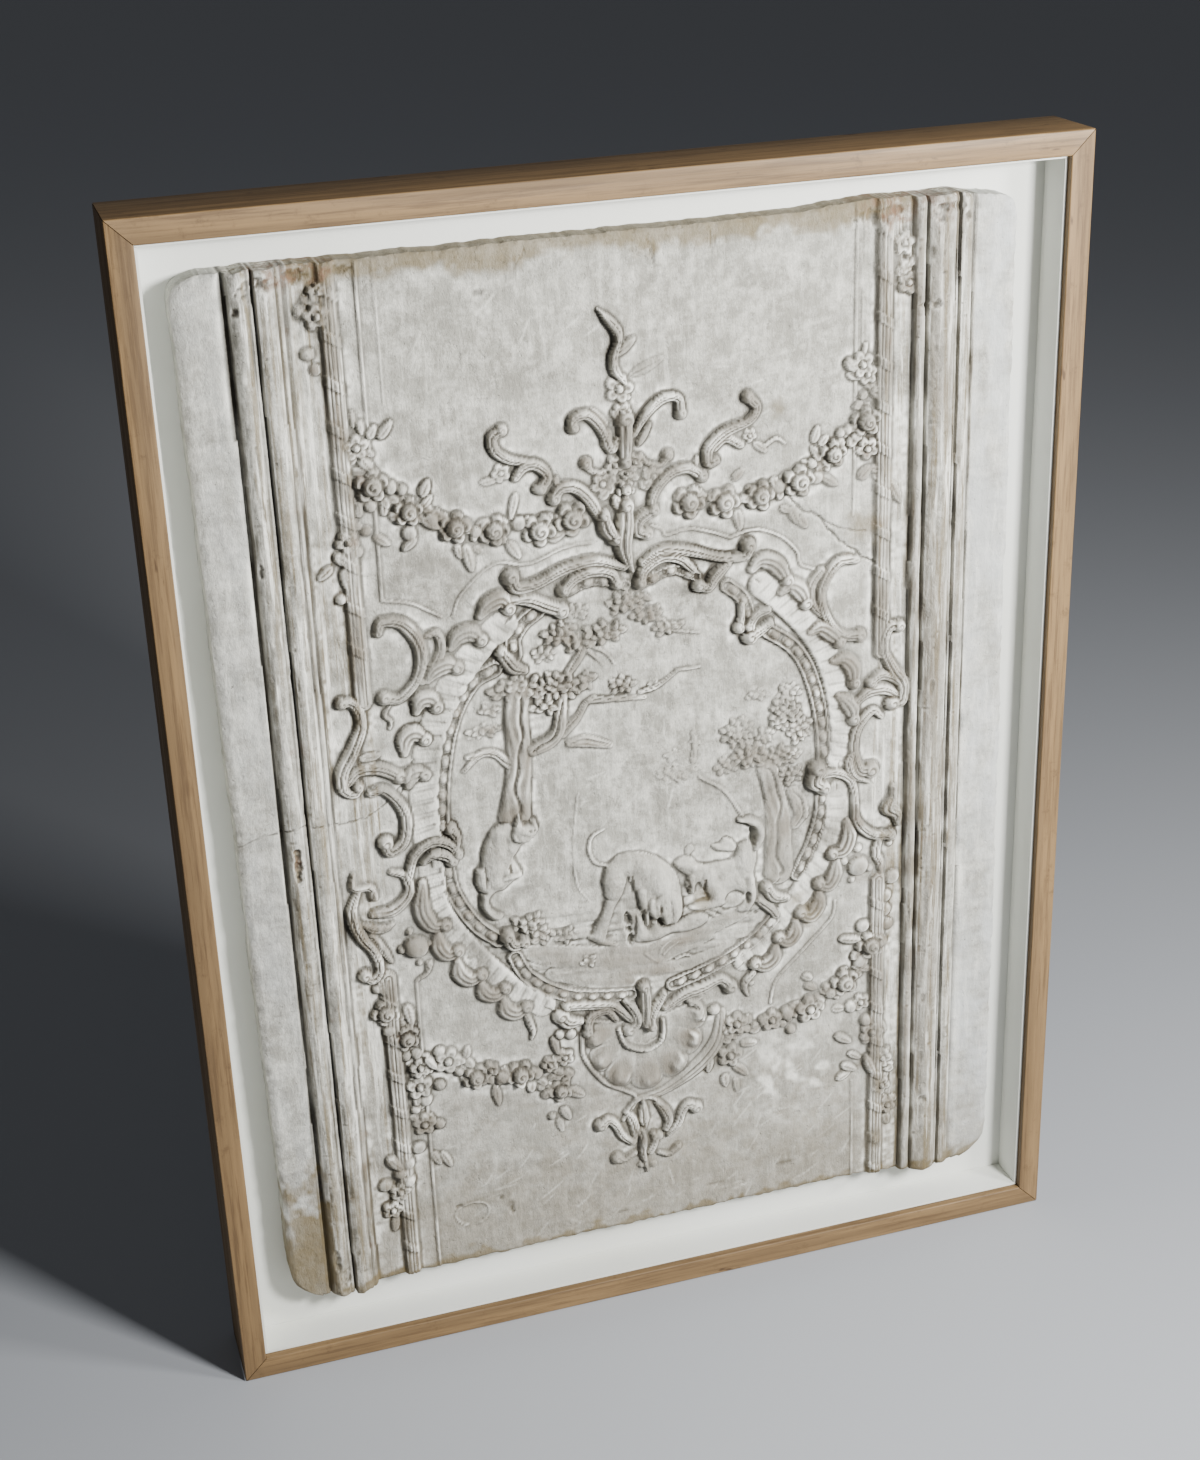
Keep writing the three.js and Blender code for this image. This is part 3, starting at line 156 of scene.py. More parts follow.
FOOT_SCROLLS = [
    (10, [5, 6, 6, 5, 4], [(-4, -207), (-3, -216), (-3, -228), (-3, -240), (-3, -248)]),
    (9, [3, 5, 5, 5.5], [(-22, -219), (-14, -231), (-11, -243), (-19, -251)]),
    (9, [3, 4, 4, 4.5], [(16, -219), (8, -231), (3, -243), (3, -252)]),
    (6, [2, 2.5, 2.5, 2.5, 2], [(-29, -249), (-22, -268), (-2, -277), (13, -269), (15, -248)]),
    (7, [5, 5, 4.5, 4], [(-78, -213), (-55, -217), (-34, -222), (-17, -240)]),
    (6, [4.6, 4.5, 4.5, 3], [(-59, -246), (-55, -230), (-40, -226), (-31, -238)]),
    (8, [7, 7, 4], [(-84, -222), (-78, -230), (-66, -232)]),
    (8, [4, 6, 6.5, 5, 6], [(18, -235), (36, -225), (55, -221), (72, -216), (82, -226)]),
    (6, [3, 4, 3], [(40, -232), (50, -240), (54, -255)]),
    (3, [1.8, 2.2, 2.2, 2, 1.6], [(-64, -247), (-63, -273), (-44, -305), (-14, -328), (-27, -351)]),
    (3.2, [4, 8, 8, 5, 3], [(74, -252), (68, -285), (46, -309), (14, -327), (-14, -331)]),
    (3.6, [1.8, 2.2, 2.2, 2.2, 2], [(-27, -351), (-18, -335), (-2, -331), (12, -341), (19, -355)]),
    (5, [3, 3.5, 3, 1.5], [(-116, -216), (-113, -226), (-111, -234), (-113, -241)]),
    (5, [3, 3.5, 3, 1.5], [(106, -216), (98, -224), (97, -232), (100, -240)]),
    (7, [5.5, 4.5, 4, 4, 3], [(-50, -351), (-42, -347), (-35, -354), (-29, -367), (-19, -378)]),
    (7, [5.5, 4.5, 4, 4, 3], [(46, -352), (38, -347), (32, -353), (28, -365), (18, -376)]),
    (7, [2, 5, 6, 2], [(-7, -334), (-7, -345), (-7, -354), (-6, -363)]),
    (6, [3, 5, 5, 3], [(-24, -342), (-19, -350), (-16, -361), (-16, -372)]),
    (6, [3, 5, 5, 3], [(7, -338), (14, -348), (18, -360), (15, -370)]),
    (7, [4, 4, 3.5, 2.5, 1], [(-10, -366), (-8, -378), (-9, -390), (-7, -400), (-5, -414)]),
    (6, [5, 3, 3], [(-35, -392), (-28, -396), (-17, -391)]),
    (5, [2.5, 3, 4], [(8, -396), (18, -400), (27, -393)]),
    (5, [3, 3.5, 3], [(2, -372), (4, -382), (-1, -393)]),
]

# Curled tongues of the rocaille fringe, from root to tip
TONGUES = [
    [(-138, 181), (-130, 190), (-119, 193), (-113, 185)],
    [(-165, 156), (-158, 165), (-148, 167), (-139, 160)],
    [(-187, 130), (-180, 138), (-170, 141), (-161, 138)],
    [(-198, 103), (-194, 112), (-186, 112), (-181, 105)],
    [(-211, 66), (-209, 79), (-202, 83), (-193, 77)],
    [(-210, 35), (-207, 43), (-201, 46), (-196, 44)],
    [(-204, -60), (-207, -85), (-199, -104), (-187, -106)],
    [(-194, -113), (-193, -127), (-186, -136), (-177, -134)],
    [(-178, -145), (-176, -158), (-167, -166), (-157, -163)],
    [(-158, -172), (-154, -183), (-145, -187), (-136, -182)],
    [(-138, -193), (-135, -205), (-126, -210), (-117, -206)],
    [(107, 188), (115, 195), (128, 190), (139, 174)],
    [(134, 163), (142, 168), (151, 162), (157, 150)],
    [(162, 121), (171, 124), (181, 117), (189, 108)],
    [(184, 90), (194, 90), (202, 81), (204, 66)], [(189, 55), (196, 49), (202, 40), (204, 30)],
    [(199, -74), (201, -89), (195, -102), (184, -104)],
    [(189, -112), (187, -126), (180, -136), (171, -133)],
    [(172, -143), (171, -155), (163, -165), (153, -161)],
    [(148, -169), (147, -180), (140, -187), (131, -183)],
    [(128, -191), (126, -203), (117, -209), (107, -206)],
]
TONGUE_HEIGHT = 8.5
TONGUE_HALF_WIDTHS = [4, 8.5, 9, 5.5]

# Fringe of the cartouche: height, half width, side that rises, middle line
FRINGES = [
    (6, 13, 1, [(-118, 170), (-140, 153), (-160, 129), (-176, 102), (-188, 72), (-195, 38), (-197, 2),
        (-196, -18)]),
    (6, 12, -1, [(116, 172), (138, 152), (158, 129), (174, 104), (184, 78), (190, 48), (193, 16),
        (190, -8)]),
    (5, 12, 1, [(-194, -50), (-194, -78), (-184, -108), (-166, -137), (-145, -165), (-124, -189),
        (-100, -208)]),
    (5, 12, -1, [(188, -42), (188, -72), (178, -104), (160, -132), (140, -158), (119, -182),
        (98, -201)]),
]

# Bead bands of the cartouche: height, half width, middle line
BEAD_BANDS = [
    (4, 7.5, [(-88, 178), (-101, 169), (-110, 156), (-110, 141)]),
    (4, 7.5, [(-128, 131), (-146, 123), (-161, 103), (-171, 78), (-177, 52), (-181, 24), (-183, -4),
        (-182, -18)]),
    (4, 7, [(-181, -48), (-178, -72), (-168, -96), (-155, -116), (-138, -132)]),
    (4, 7, [(-124, -152), (-115, -172), (-98, -189), (-76, -202), (-50, -209), (-16, -214)]),
    (4, 6.5, [(84, 176), (97, 164), (103, 148), (103, 138)]),
    (4, 7, [(122, 128), (143, 112), (157, 92), (166, 68), (172, 42), (175, 14), (176, -8)]),
    (4, 6.5, [(175, -38), (173, -62), (167, -84), (158, -104), (150, -120)]),
    (4, 7, [(126, -162), (108, -179), (84, -193), (56, -204), (26, -212)]),
    (4, 4.5, [(-64, 191), (-36, 198), (-8, 190)]), (4, 4.5, [(8, 190), (34, 198), (56, 189)]),
]

# Eggs on the bead bands
BEAD_SPACING = 14.2
BEAD_LONG, BEAD_SHORT, BEAD_HEIGHT = 5.2, 4.4, 5.8

# Open flowers: x, z, radius, height
BLOOMS = [
    (-9, 363, 12, 7), (-7, 343, 8, 7), (-26, 283, 10, 5), (-6, 276, 8, 10), (-15, 298, 8, 7),
    (2, 299, 8, 8), (-5, 290, 6, 7), (19, 284, 9, 5), (-232, 340, 11, 8), (-222, 307, 14, 13),
    (-193, 281, 12, 11), (-155, 262, 13, 11), (-122, 255, 13, 10), (-83, 250, 14, 11),
    (-54, 256, 15, 11), (-245, 262, 10, 9), (-113, 303, 8, 4), (208, 359, 11, 8), (213, 350, 9, 7),
    (212, 309, 13, 13), (182, 283, 12, 11), (150, 263, 14, 14), (115, 254, 13, 10), (82, 253, 14, 10),
    (50, 257, 14, 10), (106, 309, 6, 5), (214, 284, 10, 7), (-246, -184, 13, 11), (-229, -215, 12, 11),
    (-219, -248, 10, 9), (-221, -268, 12, 9), (-219, -310, 11, 7), (-247, -377, 10, 9),
    (-255, -396, 10, 8), (-193, -247, 13, 8), (-168, -270, 12, 11), (-126, -276, 13, 12),
    (-88, -303, 11, 10), (-82, -268, 9, 6), (225, -210, 14, 12), (199, -246, 14, 11), (163, -268, 14, 9),
    (124, -272, 11, 8), (88, -268, 11, 9), (81, -302, 12, 8), (228, -308, 12, 7), (240, -340, 10, 7),
    (239, -371, 10, 8), (246, -396, 9, 7), (-97, -272, 8, 8), (216, -272, 9, 6), (-154, -265, 8, 9),
    (-255, 450, 11, 9), (-252, 470, 9, 8), (245, 459, 10, 7), (250, 425, 10, 6),
]

# Buds and round bosses: x, z, radius, height
BUDS = [
    (-214, -123, 11.5, 11), (-219, -107, 3.2, 6), (-227, -124, 4, 5), (-212, -140, 3, 5),
    (-202, -122, 3, 4), (211, -122, 10.5, 10), (211, -104, 4.5, 5), (197, -115, 4.5, 5),
    (223, -127, 4, 5), (205, -136, 3.5, 5), (246, -140, 8, 7), (243, -104, 3.5, 4), (-254, 213, 5, 7),
    (-192, 130, 4.5, 6), (66, -248, 6, 8), (-86, -243, 5, 5), (-75, -245, 5.5, 5), (-18, -376, 5, 6),
    (8, -376, 5, 6), (31, -234, 4, 4), (-97, -330, 4, 5), (-106, -295, 5, 4), (-193, 262, 7, 6),
    (-137, 256, 6, 6), (-100, 258, 7, 6), (-206, 303, 6, 7), (-197, 300, 5, 7), (-174, 272, 7, 7),
    (189, 301, 4.5, 6), (196, 303, 4.5, 6), (203, 296, 5.5, 6), (167, 264, 7, 6), (163, 277, 5, 6),
    (132, 260, 8, 5), (-224, 290, 6, 6), (-229, 269, 5, 5), (-236, 274, 4.5, 4), (-238, 252, 6, 6),
    (-251, -158, 6, 6), (-244, -203, 7, 7), (-241, -218, 5, 6), (-231, -234, 5, 6), (-202, -271, 6, 6),
    (-216, -284, 7, 6), (-205, -313, 6, 5), (-226, -292, 5, 6), (-237, -348, 7, 7), (-245, -357, 7, 8),
    (-238, -367, 7, 9), (-260, -368, 7, 6), (-200, -236, 6, 6), (-183, -261, 5, 6), (-142, -276, 8, 7),
    (-109, -280, 6, 5), (185, -255, 7, 6), (144, -287, 5.5, 6), (140, -268, 8, 7), (222, -294, 7, 6),
    (206, -275, 7, 6), (240, -160, 7, 5), (240, -175, 7, 5), (242, -191, 7, 5), (217, -188, 7, 7),
    (236, -208, 7, 9), (215, -226, 8, 6), (-264, 420, 6, 6), (-259, 407, 5, 4), (-268, 455, 5, 5),
    (-10, -406, 4, 4), (2, -408, 4, 3), (43, -236, 4, 6), (104, 343, 4, 8), (-82, 286, 5, 8),
    (-226, -334, 7, 6), (104, -228, 3, 3),
]

# Leaves: from x, z to x, z, half width, height
LEAVES = [
    (-11, 391, 7, 405, 4.5, 5), (2, 373, 31, 385, 5, 2.5), (-34, 349, -19, 332, 3.5, 4),
    (6, 312, 18, 331, 3.5, 5), (-16, 345, -3, 330, 4, 5), (12, 291, 17, 276, 4, 4),
    (-16, 272, -11, 257, 4.5, 7), (-66, 295, -66, 286, 3, 4), (58, 297, 57, 286, 2.5, 4),
    (-131, 297, -116, 298, 3.5, 3), (110, 302, 122, 292, 4, 3), (-233, 371, -232, 356, 2.5, 4),
    (-228, 363, -226, 350, 3.5, 5), (-221, 346, -215, 357, 4.5, 5), (-213, 345, -201, 359, 4.5, 6),
    (-229, 331, -220, 318, 6, 6), (-239, 297, -226, 292, 4, 4), (-234, 281, -233, 295, 4, 5),
    (-213, 280, -212, 294, 4, 4), (-181, 292, -174, 306, 5, 5), (-181, 283, -172, 292, 4, 4),
    (-182, 274, -168, 263, 5, 6), (-188, 258, -200, 248, 4.5, 6), (-101, 285, -107, 262, 4, 4),
    (-154, 247, -151, 234, 4, 4), (-147, 246, -142, 221, 5.5, 5), (-139, 243, -132, 236, 3.5, 3),
    (-110, 243, -100, 227, 5, 4), (-223, 264, -210, 254, 4.5, 4), (-259, 242, -272, 232, 4.5, 4),
    (-257, 252, -240, 240, 6, 6), (-250, 240, -247, 219, 5, 6), (212, 378, 210, 366, 2.5, 4),
    (193, 365, 203, 353, 5, 6), (195, 353, 205, 347, 4.5, 4), (214, 340, 235, 318, 4.5, 4),
    (217, 316, 230, 306, 5.5, 5), (164, 295, 169, 310, 4.5, 4), (170, 292, 178, 300, 4, 3),
    (171, 280, 162, 292, 3.5, 3), (172, 264, 187, 254, 4.5, 4), (90, 271, 101, 280, 4, 3),
    (37, 264, 50, 258, 4.5, 4), (94, 244, 97, 225, 5, 3), (143, 240, 150, 224, 5, 3),
    (151, 230, 159, 219, 5, 3), (134, 241, 143, 236, 4, 3), (207, 257, 218, 268, 5.5, 4),
    (217, 266, 234, 262, 5, 4), (220, 260, 240, 247, 5, 4), (236, 252, 247, 230, 5, 4),
    (-250, 66, -231, 68, 4.5, 3), (-259, 64, -249, 75, 3, 3), (-227, -180, -223, -203, 5.5, 5),
    (-249, -148, -246, -166, 5.5, 6), (-214, -238, -204, -252, 5, 8), (-176, -248, -173, -236, 4.5, 4),
    (-150, -284, -147, -307, 4.5, 4), (-93, -244, -88, -264, 4, 5), (-80, -304, -64, -315, 6, 4),
    (-87, -322, -79, -338, 5, 4), (-91, -334, -87, -350, 4, 3), (-214, -342, -206, -358, 4.5, 4),
    (-205, -344, -196, -363, 4.5, 4), (-256, -338, -242, -354, 6.5, 7), (-252, -404, -255, -422, 4.5, 4),
    (193, -198, 216, -203, 5, 5), (208, -230, 226, -238, 5, 4), (156, -230, 166, -236, 5, 4),
    (158, -241, 171, -248, 4.5, 4), (187, -274, 200, -276, 5, 3), (92, -292, 110, -294, 5, 4),
    (62, -301, 59, -317, 4.5, 4), (76, -322, 77, -337, 5, 4), (85, -314, 100, -328, 5, 4),
    (87, -329, 89, -347, 3.5, 3), (192, -355, 206, -348, 4.5, 5), (222, -334, 232, -358, 5.5, 8),
    (236, -298, 243, -312, 4.5, 4), (250, -386, 256, -394, 4, 3), (243, -406, 248, -420, 5, 3),
    (190, -304, 207, -315, 5, 5), (204, -327, 217, -336, 4, 4), (197, -339, 213, -348, 5, 5),
    (231, -112, 238, -128, 3.5, 4), (-148, 268, -142, 258, 5, 6), (-75, 240, -62, 243, 5, 4),
]

# Hounds and their quarry as closed outlines: height, width of the rounded edge, points
FIGURES = [
    # climbing hound: body, then head
    (8.5, 9, [(-129, -14), (-124, -12), (-115.5, -9), (-110, -17), (-99, -20), (-101, -31), (-109, -37),
        (-113, -40), (-117, -46), (-120.5, -51), (-118, -57), (-114.5, -65), (-116, -70), (-125, -76),
        (-131, -81), (-138, -82), (-144, -87), (-145, -94), (-141, -101), (-133, -106), (-134, -110),
        (-141, -111), (-148, -105), (-153, -94), (-151, -81), (-155, -72), (-156, -63), (-151, -54),
        (-149, -40), (-144, -29), (-139, -20)]),
    (12, 4, [(-122, -17), (-116, -11), (-110, -17), (-102, -18), (-100, -24), (-102, -31),
        (-109, -36.5), (-122.5, -32)]),
    # middle hound
    (6, 13, [(-34, -76), (-38, -84), (-39, -93), (-36, -103), (-37, -114), (-43, -126), (-50, -141),
        (-54, -144), (-50, -150), (-40, -155), (-37, -148), (-33, -134), (-27, -119), (-20, -107),
        (-15, -92), (-12, -99), (-7, -112), (-4, -126), (0, -140), (4, -142), (6, -133), (13, -138),
        (22, -145), (31, -145), (37, -133), (36, -116), (33, -100), (27, -89), (14, -76), (4, -70),
        (-10, -66.5), (-24, -68)]),
    # right hound
    (5.5, 9, [(30, -84), (30, -89), (36, -96), (41, -101), (41, -112), (46, -118), (52, -110),
        (56, -115), (63, -128), (58, -131), (45, -132), (43, -136), (54, -140), (70, -139), (78, -137),
        (80, -129), (88, -125), (97, -130), (99, -136), (91, -143), (91, -148), (101, -149),
        (108, -138), (108, -127), (104, -114), (109, -101), (110, -89), (104, -80), (94, -81),
        (85, -91), (70, -92), (56, -91), (46, -82), (38, -80)]),
    # quarry
    (6, 6, [(-10, -158), (-2, -161), (12, -161), (25, -157), (40, -158), (55, -155), (62, -149),
        (58, -142), (45, -140), (32, -146), (18, -149), (10, -142), (3, -148), (-4, -134), (-8, -132),
        (-9, -146)]),
    # two tufts over the right hound
    (3, 3, [(66, -74), (70, -80), (80, -83), (88, -84), (90, -78), (85, -71), (78, -68), (74, -73)]),
    (2.2, 3, [(40, -76), (42, -71), (47, -70), (50, -75), (46, -79), (42, -80)]),
    # head of the middle hound
    (8.5, 8, [(6, -119), (5, -128), (9, -137), (14, -139), (19, -146), (28, -147), (35, -141),
        (37, -131), (35, -118), (28, -110), (16, -110)]),
]

# Limbs, muscles, ears and tails laid over the outlines: height, half widths, middle line
LIMBS = [
    (10.5, [7, 9, 10, 9], [(-131, -24), (-134, -38), (-137, -54), (-138, -70)]),
    (10, [4, 4.5, 3.5], [(-131, -68), (-124, -67), (-117, -67)]),
    (8, [5, 6, 5], [(-151, -60), (-151, -68), (-149, -76)]),
    (8, [4, 4, 3, 2.5], [(-149, -84), (-149, -94), (-144, -103), (-137, -108)]),
    (13, [2.5, 2.5, 1.5], [(-118, -16), (-116, -12), (-115, -9)]),
    (12.5, [3, 2.5], [(-102, -19), (-100, -24)]),
    (13, [4, 4, 3], [(-113, -23), (-107, -26), (-102, -27)]),
    (8.5, [9, 12, 9], [(-28, -82), (-28, -92), (-29, -104)]),
    (5.5, [5, 5, 4], [(-32, -114), (-38, -130), (-46, -146)]),
    (9, [11, 15, 13, 9], [(0, -82), (10, -94), (17, -106), (22, -118)]),
    (6.5, [5, 4.5, 3, 2], [(-2, -108), (-1, -120), (1, -132), (2, -143)]),
    (9.2, [3.5, 5, 3], [(7, -119), (7, -128), (10, -136)]),
    (9.2, [2.5, 3.2, 3], [(17, -123), (18, -134), (20, -143)]),
    (9.6, [4, 5, 4], [(27, -122), (29, -132), (28, -142)]),
    (3, [1.6, 1.9, 1.9, 1.6, 1], [(-34, -76), (-45, -71), (-50, -58), (-47, -45), (-36, -39)]),
    (8, [8, 11, 8], [(99, -84), (98, -96), (99, -107)]),
    (6.5, [5, 5, 4, 3], [(102, -112), (104, -124), (105, -136), (100, -146)]),
    (7, [8, 9, 7], [(63, -104), (67, -114), (73, -126)]),
    (7, [4, 4.5, 3], [(46, -102), (45, -110), (46, -117)]),
    (6.2, [2.5, 4, 5], [(33, -87), (40, -89), (48, -93)]),
    (9, [2, 4, 5, 5, 4], [(93, -53), (103, -55), (111, -62), (112.5, -72), (108, -83)]),
]

# Short undercut hollows of the hunt: x, z, half length in x, in z, depth
UNDERCUTS = [
    (-15.5, -137, 3.6, 10, 6), (-14, -155, 2.6, 9, 5), (-1, -134, 2, 7, 3.5), (105.5, -69, 2.4, 9, 4.5),
    (100.5, -133, 2, 6, 3), (-125, -59, 1.6, 5, 2.5), (-147.5, -66, 1.4, 11, 2.5), (14, -128, 1.1, 5, 1.6),
    (-110, -17, 3, 1.2, 2), (-10.5, -100, 1.6, 9, 1.5), (43, -111, 1.4, 7, 2), (59, -113, 1.5, 8, 2),
]

# Trunks and branches: height, half widths, middle line
TREES = [
    (6, [11, 11, 11, 12, 15], [(-109, 106), (-111, 78), (-110, 48), (-113, 18), (-117, -10)]),
    (4, [4.5, 4, 3.5, 2], [(-120, 40), (-132, 52), (-146, 53), (-160, 40)]),
    (3, [3, 2.5], [(-146, 53), (-156, 52)]),
    (7, [6, 6.5, 6, 5], [(-98, 50), (-82, 56), (-73, 68), (-70, 92)]),
    (4, [4, 4, 3, 2], [(-70, 60), (-56, 74), (-48, 86), (-40, 91)]),
    (3, [3, 2.5, 2], [(-44, 88), (-24, 86), (6, 83)]),
    (3, [2, 2.5, 1.5], [(2, 88), (18, 92), (38, 104)]),
    (2.5, [1.5, 1.2], [(38, 104), (58, 104)]),
    (3.5, [4, 6, 5, 3], [(-64, 50), (-50, 50), (-38, 46), (-27, 42)]),
    (4, [4, 4, 3], [(-62, 118), (-52, 131), (-44, 146)]),
    (2.5, [2, 1.5, 1], [(-44, 134), (-34, 124), (-32, 120)]),
    (2.5, [2, 1.5, 1], [(-40, 138), (-28, 130), (-20, 118)]),
    (2.5, [2, 1.5, 1], [(20, 150), (34, 142), (58, 136)]),
    (4, [10, 10, 12, 13, 15], [(121, -6), (127, -30), (131, -56), (132, -84), (132, -112)]),
    (3, [6, 8, 7, 5], [(146, -34), (152, -46), (154, -58), (148, -68)]),
    (2.2, [1.5, 1.8, 2], [(56, -4), (80, -22), (98, -52)]),
    (2, [3, 2.5, 2], [(50, 14), (52, 28), (51, 44)]),
]

# Hummocks of the ground: height, half widths, middle line
GROUND_SWELLS = [
    (2.2, [6, 12, 13, 12, 8], [(-122, -146), (-86, -160), (-40, -172), (10, -176), (60, -166)]),
    (1.8, [6, 11, 12, 10, 5], [(-90, -178), (-40, -192), (0, -198), (40, -196), (72, -186)]),
    (1.8, [5, 9, 10, 8, 5], [(-30, -162), (20, -166), (60, -158), (100, -148), (124, -136)]),
    (3, [3, 3, 2], [(-52, -146), (-40, -154), (-28, -159)]),
    (2.6, [2, 1.5, 1], [(0, -174), (8, -182), (13, -186)]),
    (2.6, [1.5, 1.4, 1], [(14, -176), (17, -170), (24, -165)]),
    (2.6, [1.5, 1.4, 1], [(18, -178), (24, -172), (31, -168)]),
    (2.6, [1.5, 1.4, 1], [(30, -186), (38, -184), (44, -186)]),
]

# Clumps of leaves: x, z, half length, half height, relief, radius of one leaf
FOLIAGE = [
    (-110, 109, 24, 11, 7, 4.4), (-72, 104, 18, 15, 8, 4.0), (-48, 107, 9, 8, 6, 4.4),
    (-82, 90, 15, 7, 7, 4.0), (-134, 94, 9, 7, 4, 3.4), (-142, 75, 15, 6, 4, 3.4),
    (-14, 98, 11, 8, 5, 3.6), (16, 94, 8, 3, 3, 2.6), (-68, 154, 16, 9, 7, 3.8),
    (-30, 149, 18, 10, 8, 4.4), (-52, 144, 13, 8, 8, 3.8), (-84, 137, 11, 6, 5, 3.2),
    (-8, 174, 18, 9, 5.5, 3.8), (10, 160, 14, 7, 5, 3.6), (28, 146, 14, 6, 5, 3.4),
    (-54, 172, 12, 6, 3.5, 3.2), (-112, -120, 16, 8, 7, 3.8), (-98, -134, 11, 9, 7, 4.0),
    (-76, -140, 9, 8, 5, 3.4), (-54, -171, 9, 6, 5, 3.4), (138, 46, 15, 15, 7, 3.6),
    (152, 28, 11, 13, 6, 3.6), (142, 66, 12, 8, 4, 3.4), (112, 68, 10, 5, 3, 3.2),
    (93, 34, 15, 13, 5, 3.6), (104, 10, 16, 12, 6, 3.8), (134, 4, 19, 9, 6, 3.6),
    (142, -16, 13, 8, 5, 3.4), (82, 4, 11, 9, 4, 3.4), (118, 26, 9, 8, 4, 3.2), (36, 4, 20, 8, 2.6, 3.4),
    (32, 22, 9, 5, 2.2, 3.2), (156, -56, 6, 7, 4, 3.6), (66, -142, 9, 5, 4, 3.0),
    (52, 34, 4, 8, 2.4, 2.6),
]

# Shell at the foot: its hub, its reach to the side and downwards, how far it fans out on either side,
# in radians, and how fast its lobes follow each other round the hub
SHELL_HUB = (-2, -249)
SHELL_SIDE, SHELL_DROP = 60, 71
SHELL_SPREAD = 1.85
SHELL_TURN_RATE = 6.2

# Rods at the inner side of the mouldings: x, from z, to z
RODS = [(-242.5, 496, 118), (-242.5, -150, -482), (231, 498, 92), (231, -140, -482)]
ROD_HALF_WIDTH, ROD_HEIGHT = 7.8, 5.8
RIBBON_SPACING, RIBBON_HALF_WIDTH, RIBBON_RISE = 38, 4.2, 1.5

# Raised lines: half width, height, points
LINES = [
    (1.5, 1.7, [(-218.5, 496), (-218.5, 350), (-218.5, 206)]),
    (1.5, 1.7, [(-218, 206), (-196, 201), (-182, 193), (-170, 185)]),
    (1.5, 1.7, [(-216.5, -158), (-216.5, -330), (-216.5, -482)]),
    (1.3, 1.2, [(206, 496), (205, 350), (204, 225)]),
    (1.3, 1.2, [(206.5, -360), (207, -420), (207, -482)]),
    (1.2, 0.9, [(-204, 496), (-204, 420), (-204, 372)]),
    (1.5, 1.7, [(18, 240), (27, 236), (31, 230), (50, 233), (72, 227), (88, 220)]),
    (1.5, 1.7, [(88, 220), (112, 224), (136, 214), (151, 198), (154, 186), (166, 180)]),
    (1.5, 1.7, [(188, -156), (184, -174), (156, -202), (129, -229), (122, -254)]),
    (1.3, 1.5, [(-160, 184), (-150, 204), (-122, 225), (-92, 221), (-60, 231), (-36, 232)]),
    (1.2, 1.2, [(-198, -421), (-195, -413), (-184, -409), (-171, -411), (-165, -419), (-168, -428),
        (-179, -433), (-191, -431), (-198, -421)]),
    (0.9, 0.8, [(213, 496), (212, 420), (211, 372)]),
    (0.8, 0.6, [(-235, 496), (-235, 380)]),
    (1.0, 1.0, [(-58, 0), (-62, -28), (-65, -60), (-62, -92), (-52, -110)]),
    (0.9, 0.8, [(-19, -10), (-25, -22)]),
]

# Run members at the two sides: from x, to x, height at the left edge, at the crown, at the right edge
MEMBERS = [
    (-321, -304, 5, 11.5, 7.5), (-304, -300.5, 7.5, 7.5, 5), (-299.5, -283, 9, 12.5, 8.5),
    (-283, -277.5, 5, 6, 4), (257, 266.5, 4, 8.5, 5.5), (268, 293, 7, 13.2, 8),
    (293.5, 296.5, 5.5, 6.2, 5.5), (297.5, 309.5, 7.5, 8.2, 4.8),
]
BAND_LEFT, BAND_RIGHT, BAND_HEIGHT = -324.0, 311.0, 4.0
GROOVE = 1.5

# Hollows left by blows and lost pieces: x, z, half length in x, in z, depth
CHIPS = [
    (-308, 478, 9, 12, 3), (-294, 484, 8, 7, 3), (-268, 487, 10, 6, 3), (-236, 489, 12, 5, 2.5),
    (216, 484, 14, 7, 3), (232, 488, 12, 5, 3), (275, 484, 7, 9, 3), (300, 478, 4, 5, 2),
    (285, 488, 14, 4, 2.5), (-318, 462, 3, 6, 2), (-312, -18, 3.4, 16, 4), (-300, 30, 3, 9, 2),
    (-306, -462, 5, 16, 3), (-312, -436, 3, 12, 2.5), (272, 406, 5, 4, 2.5), (262, 405, 4, 2, 2),
    (-318, 250, 2, 8, 2), (-302, 150, 2, 10, 1.5), (293, 210, 2, 12, 1.6), (262, -180, 2, 9, 1.5),
    (280, -392, 4, 5, 2), (-150, -410, 3, 3, 1), (-140, -424, 3, 6, 1.6), (-193, -410, 4, 1.5, 1),
    (105, -152, 6, 3, 2), (-281, 320, 2, 9, 1.5), (-321, -120, 2, 14, 1.5), (-284, -300, 2, 16, 1.5),
]

# Cracks: half width, depth, points
CRACKS = [
    (1.3, 2.4, [(140, 250), (152, 238), (170, 226), (186, 206), (203, 192), (222, 178)]),
    (0.9, 1.6, [(171, 226), (190, 214), (214, 208)]),
    (0.7, 1.2, [(-330, 12), (-300, 16), (-262, 8), (-236, 18), (-206, 44)]),
    (0.6, 1.0, [(-236, 18), (-214, 30), (-204, 58)]),
    (0.5, 0.8, [(20, 492), (22, 478), (25, 466)]), (0.5, 0.8, [(74, 490), (75, 470)]),
    (0.5, 0.8, [(-84, 490), (-92, 474)]), (0.6, 0.9, [(-366, 4), (-350, 8), (-330, 12)]),
    (0.5, 0.8, [(106, -142), (122, -132), (132, -120)]),
]

